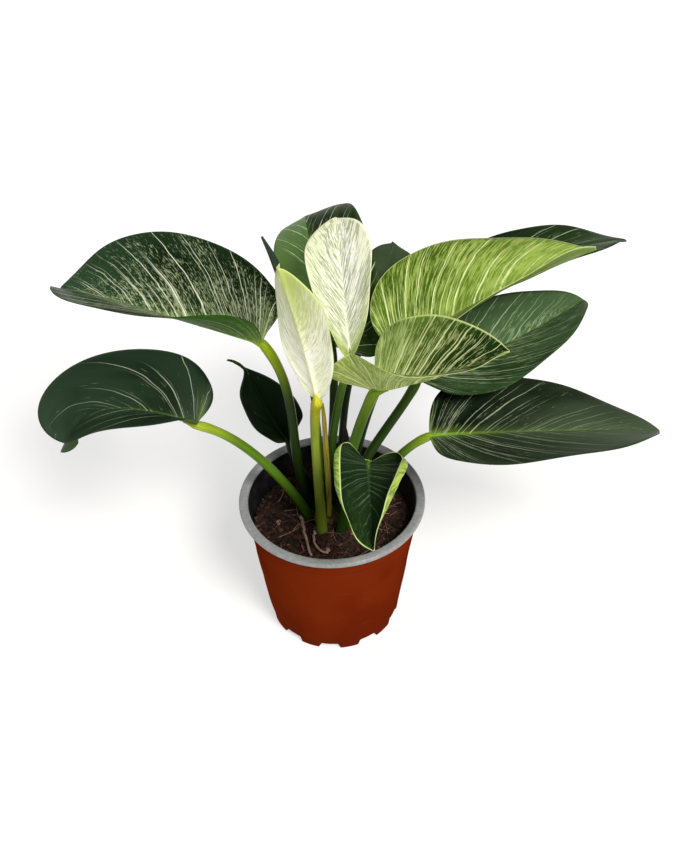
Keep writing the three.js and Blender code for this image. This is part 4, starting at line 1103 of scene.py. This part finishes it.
young = stalk_material("young", ("2c4a20", "35582a", "3f6630"))
shoot("stalk_young", YOUNG_STALK, young, "petiole_young")
shoot("rolled_leaf", YOUNG_LEAF, fibre_material("rolled_leaf_skin", "16241a", "2a4030", 0.4),
      "blade_young", seam=0.3)
papery = fibre_material("papery_sheath_brown", "6e4c18", "8c9028")
dark_papery = fibre_material("papery_sheath_dark", "1f1a14", "3a2c1c")
shoot("papery_sheath_front", SHEATHS["front"], papery, "sheath_front", flat=SHEATH_FLATNESS)
shoot("papery_sheath_back", SHEATHS["back"], dark_papery, "sheath_back", flat=SHEATH_FLATNESS)
root_skin = fibre_material("aerial_root_skin", "6b4f44", "ad9284")
for root_name, shape in ROOTS.items():
    root(root_name, shape, root_skin)
pot()
soil()
crown()
draw = np.random.default_rng(7)
bark = chip_material()
chips(draw, CHIP_COUNT, bark)
fibres(draw, FIBRE_COUNT, bark)

# ---- stage, light and camera ----------------------------------------------------------------

# In metres, degrees and mm of lens.
FLOOR_SIZE = 40.0
FLOOR_DROP = 0.0003
FLOOR_GLOW = 0.55
WORLD_LIGHT = 0.36
CAMERA_PLACE = (0.0, -0.645, 0.736)
CAMERA_YAW, CAMERA_PITCH, CAMERA_ROLL = 0.604, 41.06, -1.35
CAMERA_LENS = 54.57


def floor():
    """A plain pale floor, just under the pot's base, that glows so that its shadows stay light."""
    mesh = bpy.data.meshes.new("floor")
    corners = [(x * FLOOR_SIZE, y * FLOOR_SIZE, -FLOOR_DROP) for x, y in ((-1, -1), (1, -1), (1, 1), (-1, 1))]
    mesh.from_pydata(corners, [], [(0, 1, 2, 3)])
    material, _, shader = surface_of("matt_white_paint", 0.9, 0.0)
    shader.inputs["Base Color"].default_value = linear("b4b4b4")
    shader.inputs["Emission Color"].default_value = linear("ffffff")
    shader.inputs["Emission Strength"].default_value = FLOOR_GLOW
    mesh.materials.append(material)
    in_scene("floor", mesh)


def soft_light(name, place, target, size, power, colour):
    """A square area light at place that faces target."""
    lamp = bpy.data.lights.new(name, "AREA")
    lamp.size = size
    lamp.energy = power
    lamp.color = linear(colour)[:3]
    made = in_scene(name, lamp)
    made.location = place
    made.rotation_euler = (Vector(target) - Vector(place)).to_track_quat("-Z", "Y").to_euler()


def daylight(name, towards, spread, strength, colour):
    """Parallel light that comes from `towards`, out of a disc `spread` degrees wide, so that its shadows
    are soft."""
    lamp = bpy.data.lights.new(name, "SUN")
    lamp.angle = math.radians(spread)
    lamp.energy = strength
    lamp.color = linear(colour)[:3]
    in_scene(name, lamp).rotation_euler = Vector(towards).to_track_quat("Z", "Y").to_euler()


def camera():
    """The camera looks along yaw and pitch, then rolls about its own axis."""
    yaw, pitch, roll = (math.radians(a) for a in (CAMERA_YAW, CAMERA_PITCH, CAMERA_ROLL))
    ahead = Vector((math.sin(yaw) * math.cos(pitch), math.cos(yaw) * math.cos(pitch), -math.sin(pitch)))
    level = Vector((math.cos(yaw), -math.sin(yaw), 0))
    above = level.cross(ahead)
    right = math.cos(roll) * level + math.sin(roll) * above
    up = math.cos(roll) * above - math.sin(roll) * level
    lens = bpy.data.cameras.new("camera")
    lens.sensor_width = 36
    lens.lens = CAMERA_LENS
    made = in_scene("camera", lens)
    made.matrix_world = Matrix.Translation(CAMERA_PLACE) @ Matrix((right, up, -ahead)).transposed().to_4x4()
    bpy.context.scene.camera = made


floor()
daylight("key", towards=(0.40, -0.67, 0.92), spread=22, strength=3.7, colour="fffaf2")
soft_light("sheen", place=(-1.6, 1.2, 1.1), target=(0, 0, 0.15), size=1.4, power=3, colour="eef4ff")
camera()
world = bpy.data.worlds.new("studio")
bpy.context.scene.world = world
world.use_nodes = True
background = world.node_tree.nodes["Background"]
background.inputs["Color"].default_value = linear("ffffff")
background.inputs["Strength"].default_value = WORLD_LIGHT
bpy.context.scene.view_settings.view_transform = "Standard"
